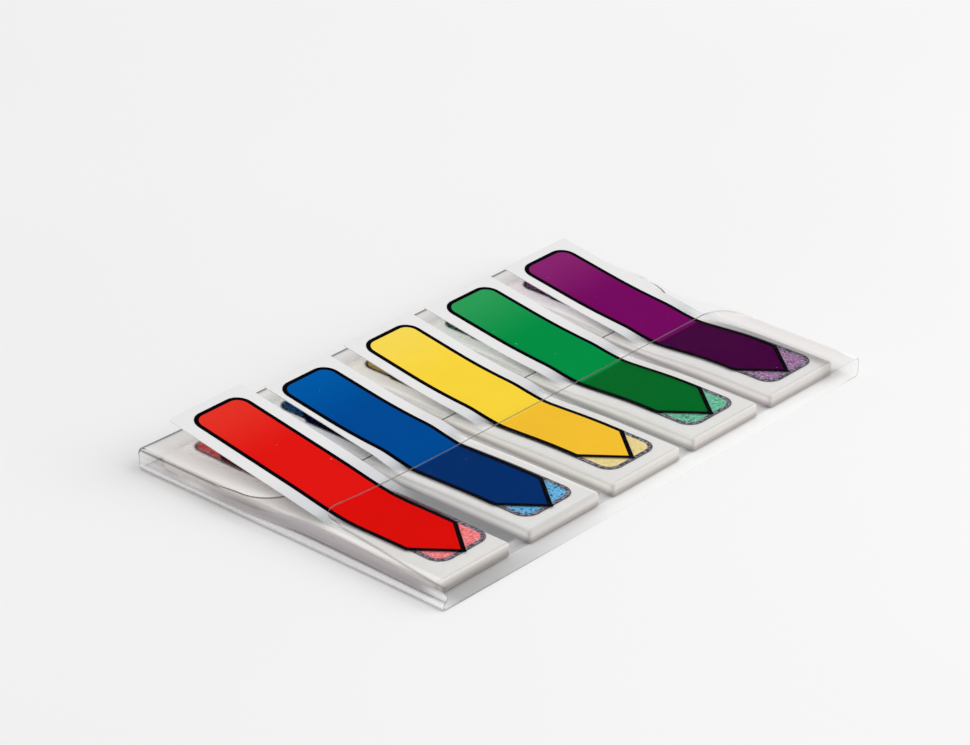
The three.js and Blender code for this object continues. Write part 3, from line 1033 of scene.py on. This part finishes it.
@dataclass
class Arrow:
    """The shape of a printed arrow: a point, straight sides and a rounded end."""

    middle: float
    width: float
    tip: float
    end: float
    head: float = 5.3
    corner: float = 2.0
    line: float = 0.56
    side_points: int = 90
    corner_points: int = 12

    @property
    def way(self) -> float:
        """1 where the arrow points to the front, -1 where it points to the rear."""
        return 1.0 if self.end > self.tip else -1.0

    def half(self, inset: float) -> tuple[np.ndarray, np.ndarray]:
        """Half of the outline, moved inwards: along the point, the side and the round corner.

        Args:
            inset: How far it is moved inwards.

        Returns:
            Distance from the tip and half the width at each point.
        """
        tip_angle = math.atan2(self.width / 2, self.head)
        half = self.width / 2 - inset
        start = inset / math.sin(tip_angle)
        shoulder = start + half / math.tan(tip_angle)
        radius = self.corner - inset
        round_start = abs(self.end - self.tip) - self.corner
        slope = np.linspace(0.0, 1.0, 14)
        side = np.linspace(shoulder, round_start, self.side_points)[1:-1]
        turn = np.linspace(0.0, math.pi / 2, self.corner_points)
        along = np.concatenate(
            [start + slope * (shoulder - start), side, round_start + radius * np.sin(turn)]
        )
        wide = np.concatenate(
            [slope * half, np.full(len(side), half), half - radius * (1 - np.cos(turn))]
        )
        return along, wide

    def outline(self, inset: float) -> np.ndarray:
        """The closed outline, counter-clockwise from above.

        Args:
            inset: How far it is moved inwards.

        Returns:
            Its points, x and y.
        """
        along, wide = self.half(inset)
        y = self.tip + self.way * along
        right = np.column_stack([self.middle + self.way * wide, y])
        left = np.column_stack([self.middle - self.way * wide[1:], y[1:]])[::-1]
        return np.concatenate([right, left])


@dataclass
class Print:
    """A printed arrow: a black outline round a field of colour, laid on a height line."""

    arrow: Arrow
    height: HeightLine
    raise_by: float
    thickness: float = 0.03
    lean: float = 0.0
    lean_from: float = -20.0
    lean_length: float = 40.0

    def leant(self, corners: np.ndarray) -> np.ndarray:
        """Moves corners to the side in proportion to their Y, as a flag that lies askew.

        Args:
            corners: The corners.

        Returns:
            The moved corners.
        """
        moved = corners.copy()
        moved[:, 0] += self.lean * (corners[:, 1] - self.lean_from) / self.lean_length
        return moved

    def build(
        self,
        name: str,
        field: bpy.types.Material,
        outline: bpy.types.Material,
        slot: str,
        stands_for: tuple[str | None, str | None],
    ) -> None:
        """Builds the outline and the field.

        Args:
            name: Start of the pieces' names.
            field: Material of the field.
            outline: Material of the outline.
            slot: Material slot of the field.
            stands_for: Solids of the outline and of the field.
        """
        outer = self.arrow.outline(0.0)
        inner = self.arrow.outline(self.arrow.line)
        low = self.height.at(np.concatenate([outer[:, 1], inner[:, 1]])) + self.raise_by
        corners, faces = Mesher.ring(outer, inner, low, low + self.thickness)
        inward = np.tile([0.0, 0.0, 1.0, 1.0], len(outer))
        Mesher.piece(
            f"{name}_outline",
            self.leant(corners),
            faces,
            [outline],
            "black_ink",
            stands_for[0],
            attributes={"inward": inward},
        )
        along, wide = self.arrow.half(self.arrow.line)
        y = self.arrow.tip + self.arrow.way * along
        low = self.height.at(y) + self.raise_by
        corners, faces = Mesher.strip(
            y, self.arrow.middle - wide, self.arrow.middle + wide, low, low + self.thickness
        )
        Mesher.piece(f"{name}_field", self.leant(corners), faces, [field], slot, stands_for[1])


@dataclass
class PadOfFlags:
    """One pad: its stack of leaves, the prints of the upper flags and the raised top flag."""

    tint: Tint
    finishes: Finishes
    leaves: int = 22
    corner: float = 0.35
    corner_points: int = 6
    long_points: int = 60
    soft_edge: float = 0.32
    slack: float = 0.012
    groove: float = 0.006

    def __post_init__(self) -> None:
        """Reads where the solids are."""
        colour = self.tint.value
        self.box = Box.of(f"pad_{colour}")
        self.flag_box = Box.of(f"top_flag_{colour}")
        self.under_print = HeightLine(f"next_field_{colour}")
        self.flag_low = HeightLine(f"top_flag_{colour}")
        self.ink_gap = 0.03
        self.random = np.random.default_rng(11 + list(Tint).index(self.tint))

    def half_outline(self, front: float, rear: float, half: float) -> tuple[np.ndarray, np.ndarray]:
        """Half of a rectangle with round corners, from its front to its rear.

        Args:
            front: Front end.
            rear: Rear end.
            half: Half of its width.

        Returns:
            Place along Y and half width at each point.
        """
        turn = np.linspace(0.0, math.pi / 2, self.corner_points)
        into = self.corner * (1 - np.sin(turn))
        up = self.corner * (1 - np.cos(turn))
        side = np.linspace(front + self.corner, rear - self.corner, self.long_points)[1:-1]
        y = np.concatenate([front + up, side, (rear - up)[::-1]])
        wide = np.concatenate([half - into, np.full(len(side), half), (half - into)[::-1]])
        return y, wide

    def stack(self) -> bpy.types.Object:
        """Builds the stack: leaves with slightly uneven edges and a groove between each two.

        The height of a ring is its share of the stack times the height of the top at its Y. Its
        half width is the leaf's own, less a quarter circle near the top of the stack.

        Returns:
            The piece.
        """
        half = self.box.width / 2
        base = self.box.low[2]
        rings = []
        shares = []
        for leaf in range(self.leaves):
            shift_x = self.random.normal(0.0, self.slack)
            shift_y = self.random.normal(0.0, self.slack)
            for share, inset in ((0.0, self.groove), (0.25, 0.0), (0.75, 0.0), (1.0, self.groove)):
                up = (leaf + share) / self.leaves
                from_top = (1 - up) * (self.box.high[2] - base)
                fall = max(0.0, self.soft_edge - from_top)
                soft = self.soft_edge - math.sqrt(max(0.0, self.soft_edge**2 - fall**2))
                inward = inset + soft
                y, wide = self.half_outline(
                    self.box.low[1] + inward, self.box.high[1] - inward, half - inward
                )
                top = self.under_print.at(y) - self.ink_gap
                z = base + up * (top - base)
                middle = self.box.middle + shift_x
                right = np.column_stack([middle + wide, y + shift_y, z])
                left = np.column_stack([middle - wide, y + shift_y, z])[::-1]
                rings.append(np.concatenate([right, left]))
                shares.append(np.full(len(right) * 2, up))
        count = len(rings[0])
        corners = np.concatenate(rings)
        start = count * np.arange(len(rings) - 1)[:, None, None]
        here = np.arange(count)[None, :, None]
        after = (here + 1) % count
        walls = np.concatenate(
            [start + here, start + after, start + count + after, start + count + here], 2
        ).reshape(-1, 4)
        step = np.arange(count // 2 - 1)[:, None]
        opposite = count - 1 - step
        floor = np.concatenate([step, opposite, opposite - 1, step + 1], 1)
        lid = floor[:, ::-1] + count * (len(rings) - 1)
        faces = np.concatenate([walls, floor, lid])
        return Mesher.piece(
            f"Pad_{self.tint.value}",
            corners,
            faces,
            [self.finishes.leaves[self.tint]],
            "frosted_film",
            f"pad_{self.tint.value}",
            attributes={"up": np.concatenate(shares)},
            sharp_degrees=60.0,
        )

    def flag(self) -> bpy.types.Object:
        """Builds the raised top flag, and gives its mesh the gap below the film.

        Returns:
            The piece.
        """
        box = self.flag_box
        y, wide = self.half_outline(box.low[1], box.high[1], box.width / 2)
        low = self.flag_low.at(y)
        thickness = 0.1
        slim = NEAR_MARGIN_LOSS.get(self.tint, 0.0) * smooth_share(y, -4.0, 12.0)
        corners, faces = Mesher.strip(
            y, box.middle - wide + slim, box.middle + wide, low, low + thickness
        )
        resting = self.flag_low.at(np.array([box.low[1] + 1.0]))[0] - self.under_print.at(
            np.array([box.low[1] + 3.5])
        )[0]
        gap = np.maximum(0.0, low - self.under_print.at(y) - resting)
        return Mesher.piece(
            f"Top_flag_{self.tint.value}",
            corners,
            faces,
            [self.finishes.frosted],
            "frosted_film",
            f"top_flag_{self.tint.value}",
            attributes={"gap": np.repeat(gap, 4)},
        )

    def print_on(self, layer: Layer) -> None:
        """Builds the print of one of the upper flags.

        Args:
            layer: Which flag.
        """
        colour = self.tint.value
        fields = self.finishes.fields[layer][self.tint]
        outline = self.finishes.black[layer][self.tint]
        if layer is Layer.THIRD:
            other = Box.of(f"next_outline_{colour}")
            shift_x, shift_y = THIRD_SHIFT[self.tint]
            shift_x += NEXT_SHIFT[self.tint][0]
            end = other.high[1] - 0.4 + shift_y
            arrow = Arrow(other.middle + shift_x, other.width, end - 12.0, end, head=3.0)
            raise_by = -0.025
        else:
            box = Box.of(f"{layer.value}_outline_{colour}")
            ends = (box.low[1], box.high[1])
            tip, end = ends if layer is Layer.TOP else ends[::-1]
            arrow = Arrow(box.middle, box.width, tip, end)
            if layer is Layer.NEXT:
                shift_x, shift_y = NEXT_SHIFT[self.tint]
                arrow = Arrow(
                    box.middle + shift_x, box.width + NEXT_SPREAD, tip + shift_y, end + shift_y, line=0.62
                )
            raise_by = 0.105 if layer is Layer.TOP else 0.0
        height = self.flag_low if layer is Layer.TOP else self.under_print
        names = (None, None)
        if layer is not Layer.THIRD:
            names = (f"{layer.value}_outline_{colour}", f"{layer.value}_field_{colour}")
        title = f"{layer.value.capitalize()}_{colour}"
        thickness = 0.015 if layer is Layer.THIRD else 0.03
        lean = 0.0 if layer is Layer.TOP else NEXT_LEAN[self.tint]
        shape = Print(arrow, height, raise_by, thickness, lean)
        shape.build(title, fields, outline, f"{colour}_ink", names)

    def build(self) -> None:
        """Builds everything that belongs to the pad."""
        self.stack()
        for layer in (Layer.THIRD, Layer.NEXT, Layer.TOP):
            self.print_on(layer)
        self.flag()


@dataclass
class Sleeve:
    """The folded film round the pads, with a slot with round corners across its top."""

    finishes: Finishes
    film: float = 0.2
    fold: float = 0.5
    far_fold: float = 0.6
    far_reach_out: float = 0.55
    front_cover: float = 2.42
    rear_cover: float = 2.26
    slot_middle: float = 0.3
    slot_width: float = 6.0
    slot_corner: float = 3.5
    slot_run: float = 2.0
    front_stretch: float = 0.85
    near_rear_stretch: float = 1.5
    far_rear_stretch: float = 1.5
    near_lift: float = 0.9
    near_lift_at_ends: float = 0.3
    lift_reach: float = 7.0
    lift_span: float = 26.0
    lift_span_rear: float = 10.0
    lift_peak: float = -3.0
    wall_lean: float = 1.5
    wall_bow: float = 0.6
    wall_bow_reach: float = 8.0
    far_sag: float = 0.75
    sag_reach: float = 12.0

    def __post_init__(self) -> None:
        """Reads the size of the solid."""
        box = Box.of("sleeve")
        self.width = box.width
        self.depth = float(box.high[1] - box.low[1])
        self.far_side = self.width / 2 - self.film / 2 + self.far_reach_out
        self.slot_front = self.slot_middle - self.slot_width / 2
        self.slot_rear = self.slot_middle + self.slot_width / 2

    def lift_share(self, y: np.ndarray) -> np.ndarray:
        """How much of the near side's lift is reached: a squared cosine, shorter to the rear."""
        span = np.where(y > self.lift_peak, self.lift_span_rear, self.lift_span)
        turn = np.clip(math.pi / 2 * (y - self.lift_peak) / span, -math.pi / 2, math.pi / 2)
        return np.cos(turn) ** 2

    def near_fold(self, y: np.ndarray) -> np.ndarray:
        """X of the near top fold: the side, moved in by the wall's lean."""
        return -self.width / 2 + self.film / 2 + self.wall_lean * self.lift_share(y)

    def cover_height(self, x: np.ndarray, y: np.ndarray) -> np.ndarray:
        """Height of the covers' film: a flat front, a rear that sags with the pads, a lifted side.

        Args:
            x: Places across.
            y: Places along.

        Returns:
            Height of the middle of the film.
        """
        turn = np.clip(math.pi / 2 * y / self.sag_reach, -math.pi / 2, math.pi / 2)
        sag = self.far_sag * (x / self.width + 0.5) * np.cos(turn) ** 2
        share = smooth_share(y, self.slot_front, self.slot_rear)
        plain = self.front_cover + (self.rear_cover - sag - self.front_cover) * share
        lift = self.near_lift_at_ends + self.near_lift * self.lift_share(y)
        from_fold = np.maximum(0.0, x - self.near_fold(y))
        return plain + self.film / 2 + lift * np.exp(-from_fold / self.lift_reach)

    @staticmethod
    def _between(first: np.ndarray, last: np.ndarray, share: np.ndarray) -> np.ndarray:
        """Points on the straight line from one point to another."""
        return first + (last - first) * share

    @staticmethod
    def _bend(
        before: np.ndarray, corner: np.ndarray, after: np.ndarray, share: np.ndarray, reach: float
    ) -> np.ndarray:
        """Points on a bend: a square curve that starts and ends at the reach from its corner.

        Args:
            before: A point on the side that comes in.
            corner: The corner that is rounded.
            after: A point on the side that goes out.
            share: How far along the bend, from 0 to 1.
            reach: Distance from the corner at which the bend starts.

        Returns:
            The points.
        """
        toward = before - corner
        start = corner + toward / np.linalg.norm(toward, axis=0) * reach
        toward = after - corner
        end = corner + toward / np.linalg.norm(toward, axis=0) * reach
        rest = 1.0 - share
        return rest * rest * start + 2 * rest * share * corner + share * share * end

    def columns(self) -> list[tuple[str, float]]:
        """The grid's columns, once round the film from the near bottom fold.

        Returns:
            For each column the part of the film that it is on and how far along that part.
        """
        bends = np.linspace(0.0, 1.0, 9)
        table: list[tuple[str, float]] = []
        table += [("near_base", s) for s in bends]
        table += [("base", s) for s in np.linspace(0.0, 1.0, 26)[1:-1]]
        table += [("far_base", s) for s in bends]
        table += [("far_wall", s) for s in np.linspace(0.0, 1.0, 6)[1:-1]]
        table += [("far_top", s) for s in bends]
        table += [("far_corner", s) for s in np.linspace(0.0, 1.0, 15)[1:]]
        table += [("cover", s) for s in np.linspace(0.0, 1.0, 60)[1:-1]]
        table += [("near_corner", s) for s in np.linspace(1.0, 0.0, 15)[:-1]]
        table += [("near_top", s) for s in bends]
        table += [("near_wall", s) for s in np.linspace(0.0, 1.0, 26)[1:-1]]
        return table

    def flare(self, part: str, share: float) -> float:
        """How much wider the slot is on this column: a quarter circle and a run over each fold.

        Args:
            part: The part of the film.
            share: How far along the part.

        Returns:
            The extra width at the front and at the rear.
        """
        if part in ("far_corner", "near_corner"):
            return self.slot_corner * (1 - math.sin(share * math.pi / 2))
        if part == "cover":
            return 0.0
        run = {"near_top": 2 * share, "far_top": 2 * (1 - share)}.get(part, 1.0)
        return self.slot_corner + self.slot_run * min(1.0, run)

    def column_points(self, part: str, share: float, y: np.ndarray) -> np.ndarray:
        """Points of one column: the film's middle at places along the sleeve.

        Args:
            part: The part of the film.
            share: How far along the part.
            y: The places.

        Returns:
            X and Z, one row each.
        """
        side = np.full_like(y, self.far_side)
        near_side = np.full_like(y, self.width / 2 - self.film / 2)
        floor = np.full_like(y, self.film / 2)
        near = self.near_fold(y)
        near_top = np.array([near, self.cover_height(near, y)])
        far_top = np.array([side, self.cover_height(side, y)])
        near_base = np.array([-near_side, floor])
        far_base = np.array([side, floor])
        reach = self.fold
        far_reach = self.far_fold
        beside_near = np.array([near + 2 * reach, self.cover_height(near + 2 * reach, y)])
        beside_far = np.array([side - 2 * far_reach, self.cover_height(side - 2 * far_reach, y)])
        if part == "near_base":
            return self._bend(near_top, near_base, far_base, np.array(share), reach)
        if part == "base":
            start = near_base + np.array([[reach], [0.0]])
            return self._between(start, far_base - np.array([[far_reach], [0.0]]), np.array(share))
        if part == "far_base":
            return self._bend(near_base, far_base, far_top, np.array(share), far_reach)
        if part == "far_wall":
            step = np.array([[0.0], [far_reach]])
            return self._between(far_base + step, far_top - step, np.array(share))
        if part == "far_top":
            return self._bend(far_base, far_top, beside_far, np.array(share), far_reach)
        if part == "near_top":
            return self._bend(beside_near, near_top, near_base, np.array(share), reach)
        if part == "near_wall":
            down = near_base - near_top
            unit = down / np.linalg.norm(down, axis=0) * reach
            points = self._between(near_top + unit, near_base - unit, np.array(share))
            bow = self.wall_bow * np.exp(-(y + self.depth / 2) / self.wall_bow_reach)
            points[0] += bow * math.sin(math.pi * share) ** 2
            return points
        from_fold = self.slot_corner * (1 - math.cos(share * math.pi / 2))
        if part == "far_corner":
            x = side - far_reach - from_fold
        elif part == "near_corner":
            x = near + reach + from_fold
        else:
            start = side - far_reach - self.slot_corner
            x = self._between(start, near + reach + self.slot_corner, share)
        return np.array([x, self.cover_height(x, y)])

    def crease_at(self, part: str, share: float, y: np.ndarray) -> np.ndarray:
        """How dark the fold lines are: thin bell curves round the middle of each bend.

        Args:
            part: The part of the film.
            share: How far along the part.
            y: Places along the sleeve.

        Returns:
            The darkness from 0 to 1.
        """
        if part == "near_top":
            rear = 0.9 * smooth_share(y, 10.6, 11.6)
            front = 0.5 * smooth_share(-y, 6.6, 7.6)
            return math.exp(-(((share - 0.5) / 0.17) ** 2)) * (rear + front)
        if part == "near_base":
            return math.exp(-(((share - 0.62) / 0.16) ** 2)) * (1.25 - 0.2 * smooth_share(y, -5.0, 20.0))
        # On the near wall: a thin painted shade line along the lower edge of the painted shade band.
        if part == "near_wall":
            return math.exp(-(((share - 0.76) / 0.035) ** 2)) * 0.28 * smooth_share(-y, -8.0, 4.0)
        if part == "far_top":
            corner = 0.7 * smooth_share(y, 9.0, 10.0) * (1.0 - smooth_share(y, 10.0, 12.0))
            plain = 0.25 * smooth_share(-y, 2.0, 6.0)
            return math.exp(-(((share - 0.5) / 0.17) ** 2)) * (plain + corner)
        return np.zeros_like(y)

    def glint_at(self, part: str, share: float, y: np.ndarray) -> np.ndarray:
        """How much painted highlight the film carries: along the near foot, at the front corners and on the base,
        where it also lights the gaps between the pads.

        Args:
            part: The part of the film.
            share: How far along the part.
            y: Places along the sleeve.

        Returns:
            The brightness from 0 to 1.
        """
        front = smooth_share(-y, self.depth / 2 - 5.0, self.depth / 2 - 1.0)
        if part == "near_wall":
            foot = float(smooth_share(np.array(share), 0.78, 0.9))
            inside = math.sin(math.pi * share) ** 2
            rear = smooth_share(y, 9.0, 18.0)
            return np.maximum(0.75 * foot, inside * (0.3 * front + 0.42 * rear))
        if part == "near_base":
            return np.full_like(y, max(0.0, 1.0 - 2.2 * share))
        if part == "base":
            inside = smooth_share(-np.abs(y), -self.depth / 2 + 2.8, -self.depth / 2 + 4.5)
            return 0.12 * smooth_share(-y, self.depth / 2 - 2.2, self.depth / 2 - 1.0) + 0.4 * inside
        if part in ("far_top", "far_wall", "far_base"):
            return 0.45 * smooth_share(-y, self.depth / 2 - 3.5, self.depth / 2 - 0.5)
        return np.zeros_like(y)

    def veil_at(self, part: str, x: np.ndarray, share: float, y: np.ndarray) -> np.ndarray:
        """How much pale painted veil, with a painted glow, covers the shade on the film: on the covers where no
        pad lies below, and the painted shade band on the near wall.

        Args:
            part: The part of the film.
            x: Places across.
            share: How far along the part.
            y: Places along the sleeve.

        Returns:
            The strength from 0 to 1.
        """
        # On the near wall this gives the painted purple-grey shade band.
        if part == "near_wall":
            wall_shade = float(smooth_share(np.array(share), 0.12, 0.3) * smooth_share(-np.array(share), -0.8, -0.7))
            rear = 1.0 - smooth_share(y, 11.0, 19.0)
            return 0.8 * wall_shade * rear
        in_front = 1.0 - smooth_share(y, self.slot_middle - 0.5, self.slot_middle + 0.5)
        past_slot = smooth_share(-y, -self.slot_front + 2.8, -self.slot_front + 4.2)
        if part in ("far_corner", "cover", "near_corner"):
            far = smooth_share(x, self.width / 2 - 3.1, self.width / 2 - 2.2) * in_front
            near = smooth_share(-x, self.width / 2 - 5.0, self.width / 2 - 2.8) * (1.0 - in_front)
            rear = smooth_share(y, self.depth / 2 - 4.4, self.depth / 2 - 2.2)
            return np.maximum(0.9 * far, np.maximum(1.1 * near, 1.3 * rear))
        if part == "far_top":
            return 1.05 * past_slot
        if part == "far_wall":
            return 0.2 * past_slot
        return np.zeros_like(y)

    def cut_at(self, part: str, share: float, y: np.ndarray) -> np.ndarray:
        """How much a cut edge shows: clearly on the covers' inner edges, hardly at the front.

        Args:
            part: The part of the film.
            share: How far along the part.
            y: Places along the sleeve.

        Returns:
            The strength from 0 to 1.
        """
        strength = np.where(y < self.slot_middle, 0.75, 1.0)
        at_front = y < -self.depth / 2 + 1.0
        at_rear = y > self.depth / 2 - 1.0
        strength[at_front] = 0.7 if part in ("near_wall", "near_base") else 0.12
        if part in ("near_wall", "near_base"):
            strength[at_rear] = 0.45
        if part.startswith("far"):
            strength[at_rear] = 0.3
            if part != "far_corner":
                strength[at_front] = 0.4
                strength[~at_front & ~at_rear] = 0.0
        if part == "near_corner":
            strength[~at_front & ~at_rear] = 1.0
        if part == "near_top" and share >= 0.5:
            strength[~at_front & ~at_rear] = 0.0
        return strength

    def build(self) -> bpy.types.Object:
        """Builds the film as a grid of columns round it and rows along it, with a slot left out.

        Rows come in three blocks: to the slot's front edge, across it and from its rear edge. The
        edges of the blocks follow the slot's round corners, so the grid needs no cutting.

        Returns:
            The piece.
        """
        table = self.columns()
        front_rows, slot_rows, rear_rows = 34, 14, 30
        shares = [np.linspace(0, 1, n + 1) for n in (front_rows, slot_rows, rear_rows)]
        middle = []
        crease_and_shade = []
        glint = []
        veil = []
        wall_shade = []
        cut = []
        for part, share in table:
            flare = self.flare(part, share)
            front = self.slot_front - flare * self.front_stretch
            stretch = self.far_rear_stretch if part.startswith("far") else self.near_rear_stretch
            rear = self.slot_rear + flare * stretch
            y = np.concatenate(
                [
                    self._between(-self.depth / 2, front, shares[0][:-1]),
                    self._between(front, rear, shares[1][:-1]),
                    self._between(rear, self.depth / 2, shares[2]),
                ]
            )
            x, z = self.column_points(part, share, y)
            middle.append(np.stack([x, y, z], 1))
            in_front_strip = smooth_share(-y, self.depth / 2 - 3.4, self.depth / 2 - 2.4)
            dark = self.crease_at(part, share, y)
            if part == "far_corner":
                dark = 0.95 * (np.abs(y - rear) < 0.05)
            if part in ("cover", "near_corner", "far_corner"):
                dark = dark + 0.45 * (y > self.depth / 2 - 0.05)
            # Painted shadow: the base darkens in the strip in front of the pads, most towards the near corner.
            if part == "base":
                dark = in_front_strip * (0.26 - 0.22 * smooth_share(x, -31.0, -14.0))
            crease_and_shade.append(dark)
            shine = self.glint_at(part, share, y)
            # Painted highlight: a lighter strip on the base in front of the pads, more towards the far side.
            if part == "base":
                shine = shine + 0.3 * in_front_strip * smooth_share(x, -24.0, 4.0)
            glint.append(shine)
            veil_and_wall_shade = self.veil_at(part, x, share, y)
            on_wall = part == "near_wall"
            veil.append(veil_and_wall_shade * (not on_wall))
            wall_shade.append(veil_and_wall_shade * on_wall)
            edge = self.cut_at(part, share, y)
            if part == "base":
                front_edge = 0.65 * (1.0 - smooth_share(x, -34.0, -12.0)) + 0.08
                edge = np.where(y < 0.0, front_edge, 0.3 * (x < -31.0))
            cut.append(edge)
        grid = np.stack(middle, 1)
        run = np.roll(grid, -1, 1) - np.roll(grid, 1, 1)
        out = np.stack([run[..., 2], np.zeros(run.shape[:2]), -run[..., 0]], 2)
        out /= np.linalg.norm(out, axis=2, keepdims=True)
        outer = grid + out * self.film / 2
        inner = grid - out * self.film / 2
        outer[..., 2] = np.maximum(outer[..., 2], 0.0)
        rows, count = grid.shape[:2]
        parts = [part for part, _ in table]
        on_top = np.array([part in ("far_corner", "cover", "near_corner") for part in parts])
        bend_half = np.array([part == "far_top" and share >= 0.5 for part, share in table])
        bend_half |= np.array([part == "near_top" and share < 0.5 for part, share in table])
        open_columns = on_top | bend_half
        here = np.ones((rows - 1, count), bool)
        here[front_rows : front_rows + slot_rows, open_columns] = False
        number = np.arange(rows * count).reshape(rows, count)
        after = np.roll(number, -1, 1)
        quads = np.stack([number[:-1], after[:-1], after[1:], number[1:]], 2)
        inside = rows * count
        faces = [quads[here], quads[here][:, ::-1] + inside]
        rims = []
        padded = np.pad(here, ((1, 1), (0, 0)), constant_values=False)
        below = padded[1:-1] & ~padded[:-2]
        above = padded[1:-1] & ~padded[2:]
        before = here & ~np.roll(here, 1, 1)
        behind = here & ~np.roll(here, -1, 1)
        for mask, first, second in ((below, 0, 1), (above, 2, 3), (before, 3, 0), (behind, 1, 2)):
            edge = quads[mask]
            a, b = edge[:, first], edge[:, second]
            rims.append(np.stack([a, a + inside, b + inside, b], 1))
        rim = np.concatenate(rims)
        faces.append(rim)
        kinds = np.concatenate([np.zeros(2 * int(here.sum())), np.ones(len(rim))])
        corners = np.concatenate([outer.reshape(-1, 3), inner.reshape(-1, 3)])
        all_faces = np.concatenate(faces)
        used, order = np.unique(all_faces, return_inverse=True)
        return Mesher.piece(
            "Sleeve",
            corners[used],
            order.reshape(all_faces.shape),
            [self.finishes.film, self.finishes.film_edge],
            "clear_film",
            "sleeve",
            face_materials=kinds,
            attributes={
                title: np.tile(np.stack(values, 1).ravel(), 2)[used]
                for title, values in (
                    ("crease_and_shade", crease_and_shade),
                    ("glint", glint),
                    ("veil", veil),
                    ("wall_shade", wall_shade),
                    ("cut", cut),
                )
            },
            sharp_degrees=50.0,
        )


@dataclass
class Studio:
    """Camera, floor, world and lamps."""

    turn: float = -48.33
    rise: float = 28.44
    roll: float = 0.12
    distance: float = 479.0
    aim_right: float = -2.355
    aim_up: float = 5.911
    lens: float = 150.35
    floor_half: float = 3.0

    def camera(self) -> None:
        """Sets the camera at the photograph's viewing angle."""
        turn = math.radians(self.turn)
        rise = math.radians(self.rise)
        roll = math.radians(self.roll)
        back = Vector(
            (math.sin(turn) * math.cos(rise), -math.cos(turn) * math.cos(rise), math.sin(rise))
        )
        level = Vector((math.cos(turn), math.sin(turn), 0.0))
        right = level * math.cos(roll) + back.cross(level) * math.sin(roll)
        up = back.cross(right)
        place = back * self.distance * MM
        aim = (right * self.aim_right + up * self.aim_up) * MM
        back = (place - aim).normalized()
        right = up.cross(back).normalized()
        up = back.cross(right)
        data = bpy.data.cameras.new("Camera")
        data.lens = self.lens
        data.sensor_width = 36.0
        data.clip_start = 0.01
        camera = bpy.data.objects.new("Camera", data)
        turned = Matrix((right, up, back)).transposed().to_4x4()
        camera.matrix_world = Matrix.Translation(place) @ turned
        bpy.context.scene.collection.objects.link(camera)
        bpy.context.scene.camera = camera

    def floor(self) -> None:
        """Lays a plain pale floor under the object."""
        half = self.floor_half
        mesh = bpy.data.meshes.new("Floor")
        flat = [(-half, -half, 0.0), (half, -half, 0.0), (half, half, 0.0), (-half, half, 0.0)]
        mesh.from_pydata(flat, [], [(0, 1, 2, 3)])
        recipe = Recipe("floor")
        grain = recipe.add("ShaderNodeTexNoise")
        grain.inputs["Scale"].default_value = 8.0
        recipe.join(recipe.place, grain.inputs["Vector"])
        colour = recipe.blend(
            recipe.ramp(grain.outputs["Fac"], 0.35, 0.65), linear(249, 248, 248), linear(250, 250, 250)
        )
        recipe.join(colour, recipe.shader.inputs["Base Color"])
        recipe.shader.inputs["Roughness"].default_value = 0.9
        recipe.shader.inputs["Specular IOR Level"].default_value = 0.0
        mesh.materials.append(recipe.material)
        floor = bpy.data.objects.new("Floor", mesh)
        floor.location.z = -0.00002
        bpy.context.scene.collection.objects.link(floor)

    def lamp(self, name: str, place: tuple[float, float, float], size: float, power: float) -> None:
        """Hangs one soft square lamp that looks at the object.

        Args:
            name: Name of the lamp.
            place: Where it hangs, in metres.
            size: Length of its sides, in metres.
            power: Its power in watts.
        """
        data = bpy.data.lights.new(name, "AREA")
        data.shape = "SQUARE"
        data.size = size
        data.energy = power
        lamp = bpy.data.objects.new(name, data)
        lamp.location = place
        lamp.rotation_euler = Vector(place).to_track_quat("Z", "Y").to_euler()
        bpy.context.scene.collection.objects.link(lamp)

    def build(self) -> None:
        """Sets up the whole studio."""
        self.camera()
        self.floor()
        scene = bpy.context.scene
        scene.view_settings.view_transform = "Standard"
        world = bpy.data.worlds.new("Studio")
        world.use_nodes = True
        background = world.node_tree.nodes["Background"]
        background.inputs["Color"].default_value = (1.0, 1.0, 1.0, 1.0)
        background.inputs["Strength"].default_value = 0.66
        scene.world = world
        self.lamp("Key", (0.56, -0.62, 0.66), 1.0, 6.9)


def main() -> None:
    """Builds the object and its studio in order."""
    logging.basicConfig(level=logging.INFO, format="%(name)s: %(message)s")
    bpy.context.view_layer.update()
    Studio().build()
    finishes = Finishes(Effects())
    for tint in Tint:
        PadOfFlags(tint, finishes).build()
    Sleeve(finishes).build()
    bpy.context.view_layer.update()


if __name__ == "__main__":
    main()
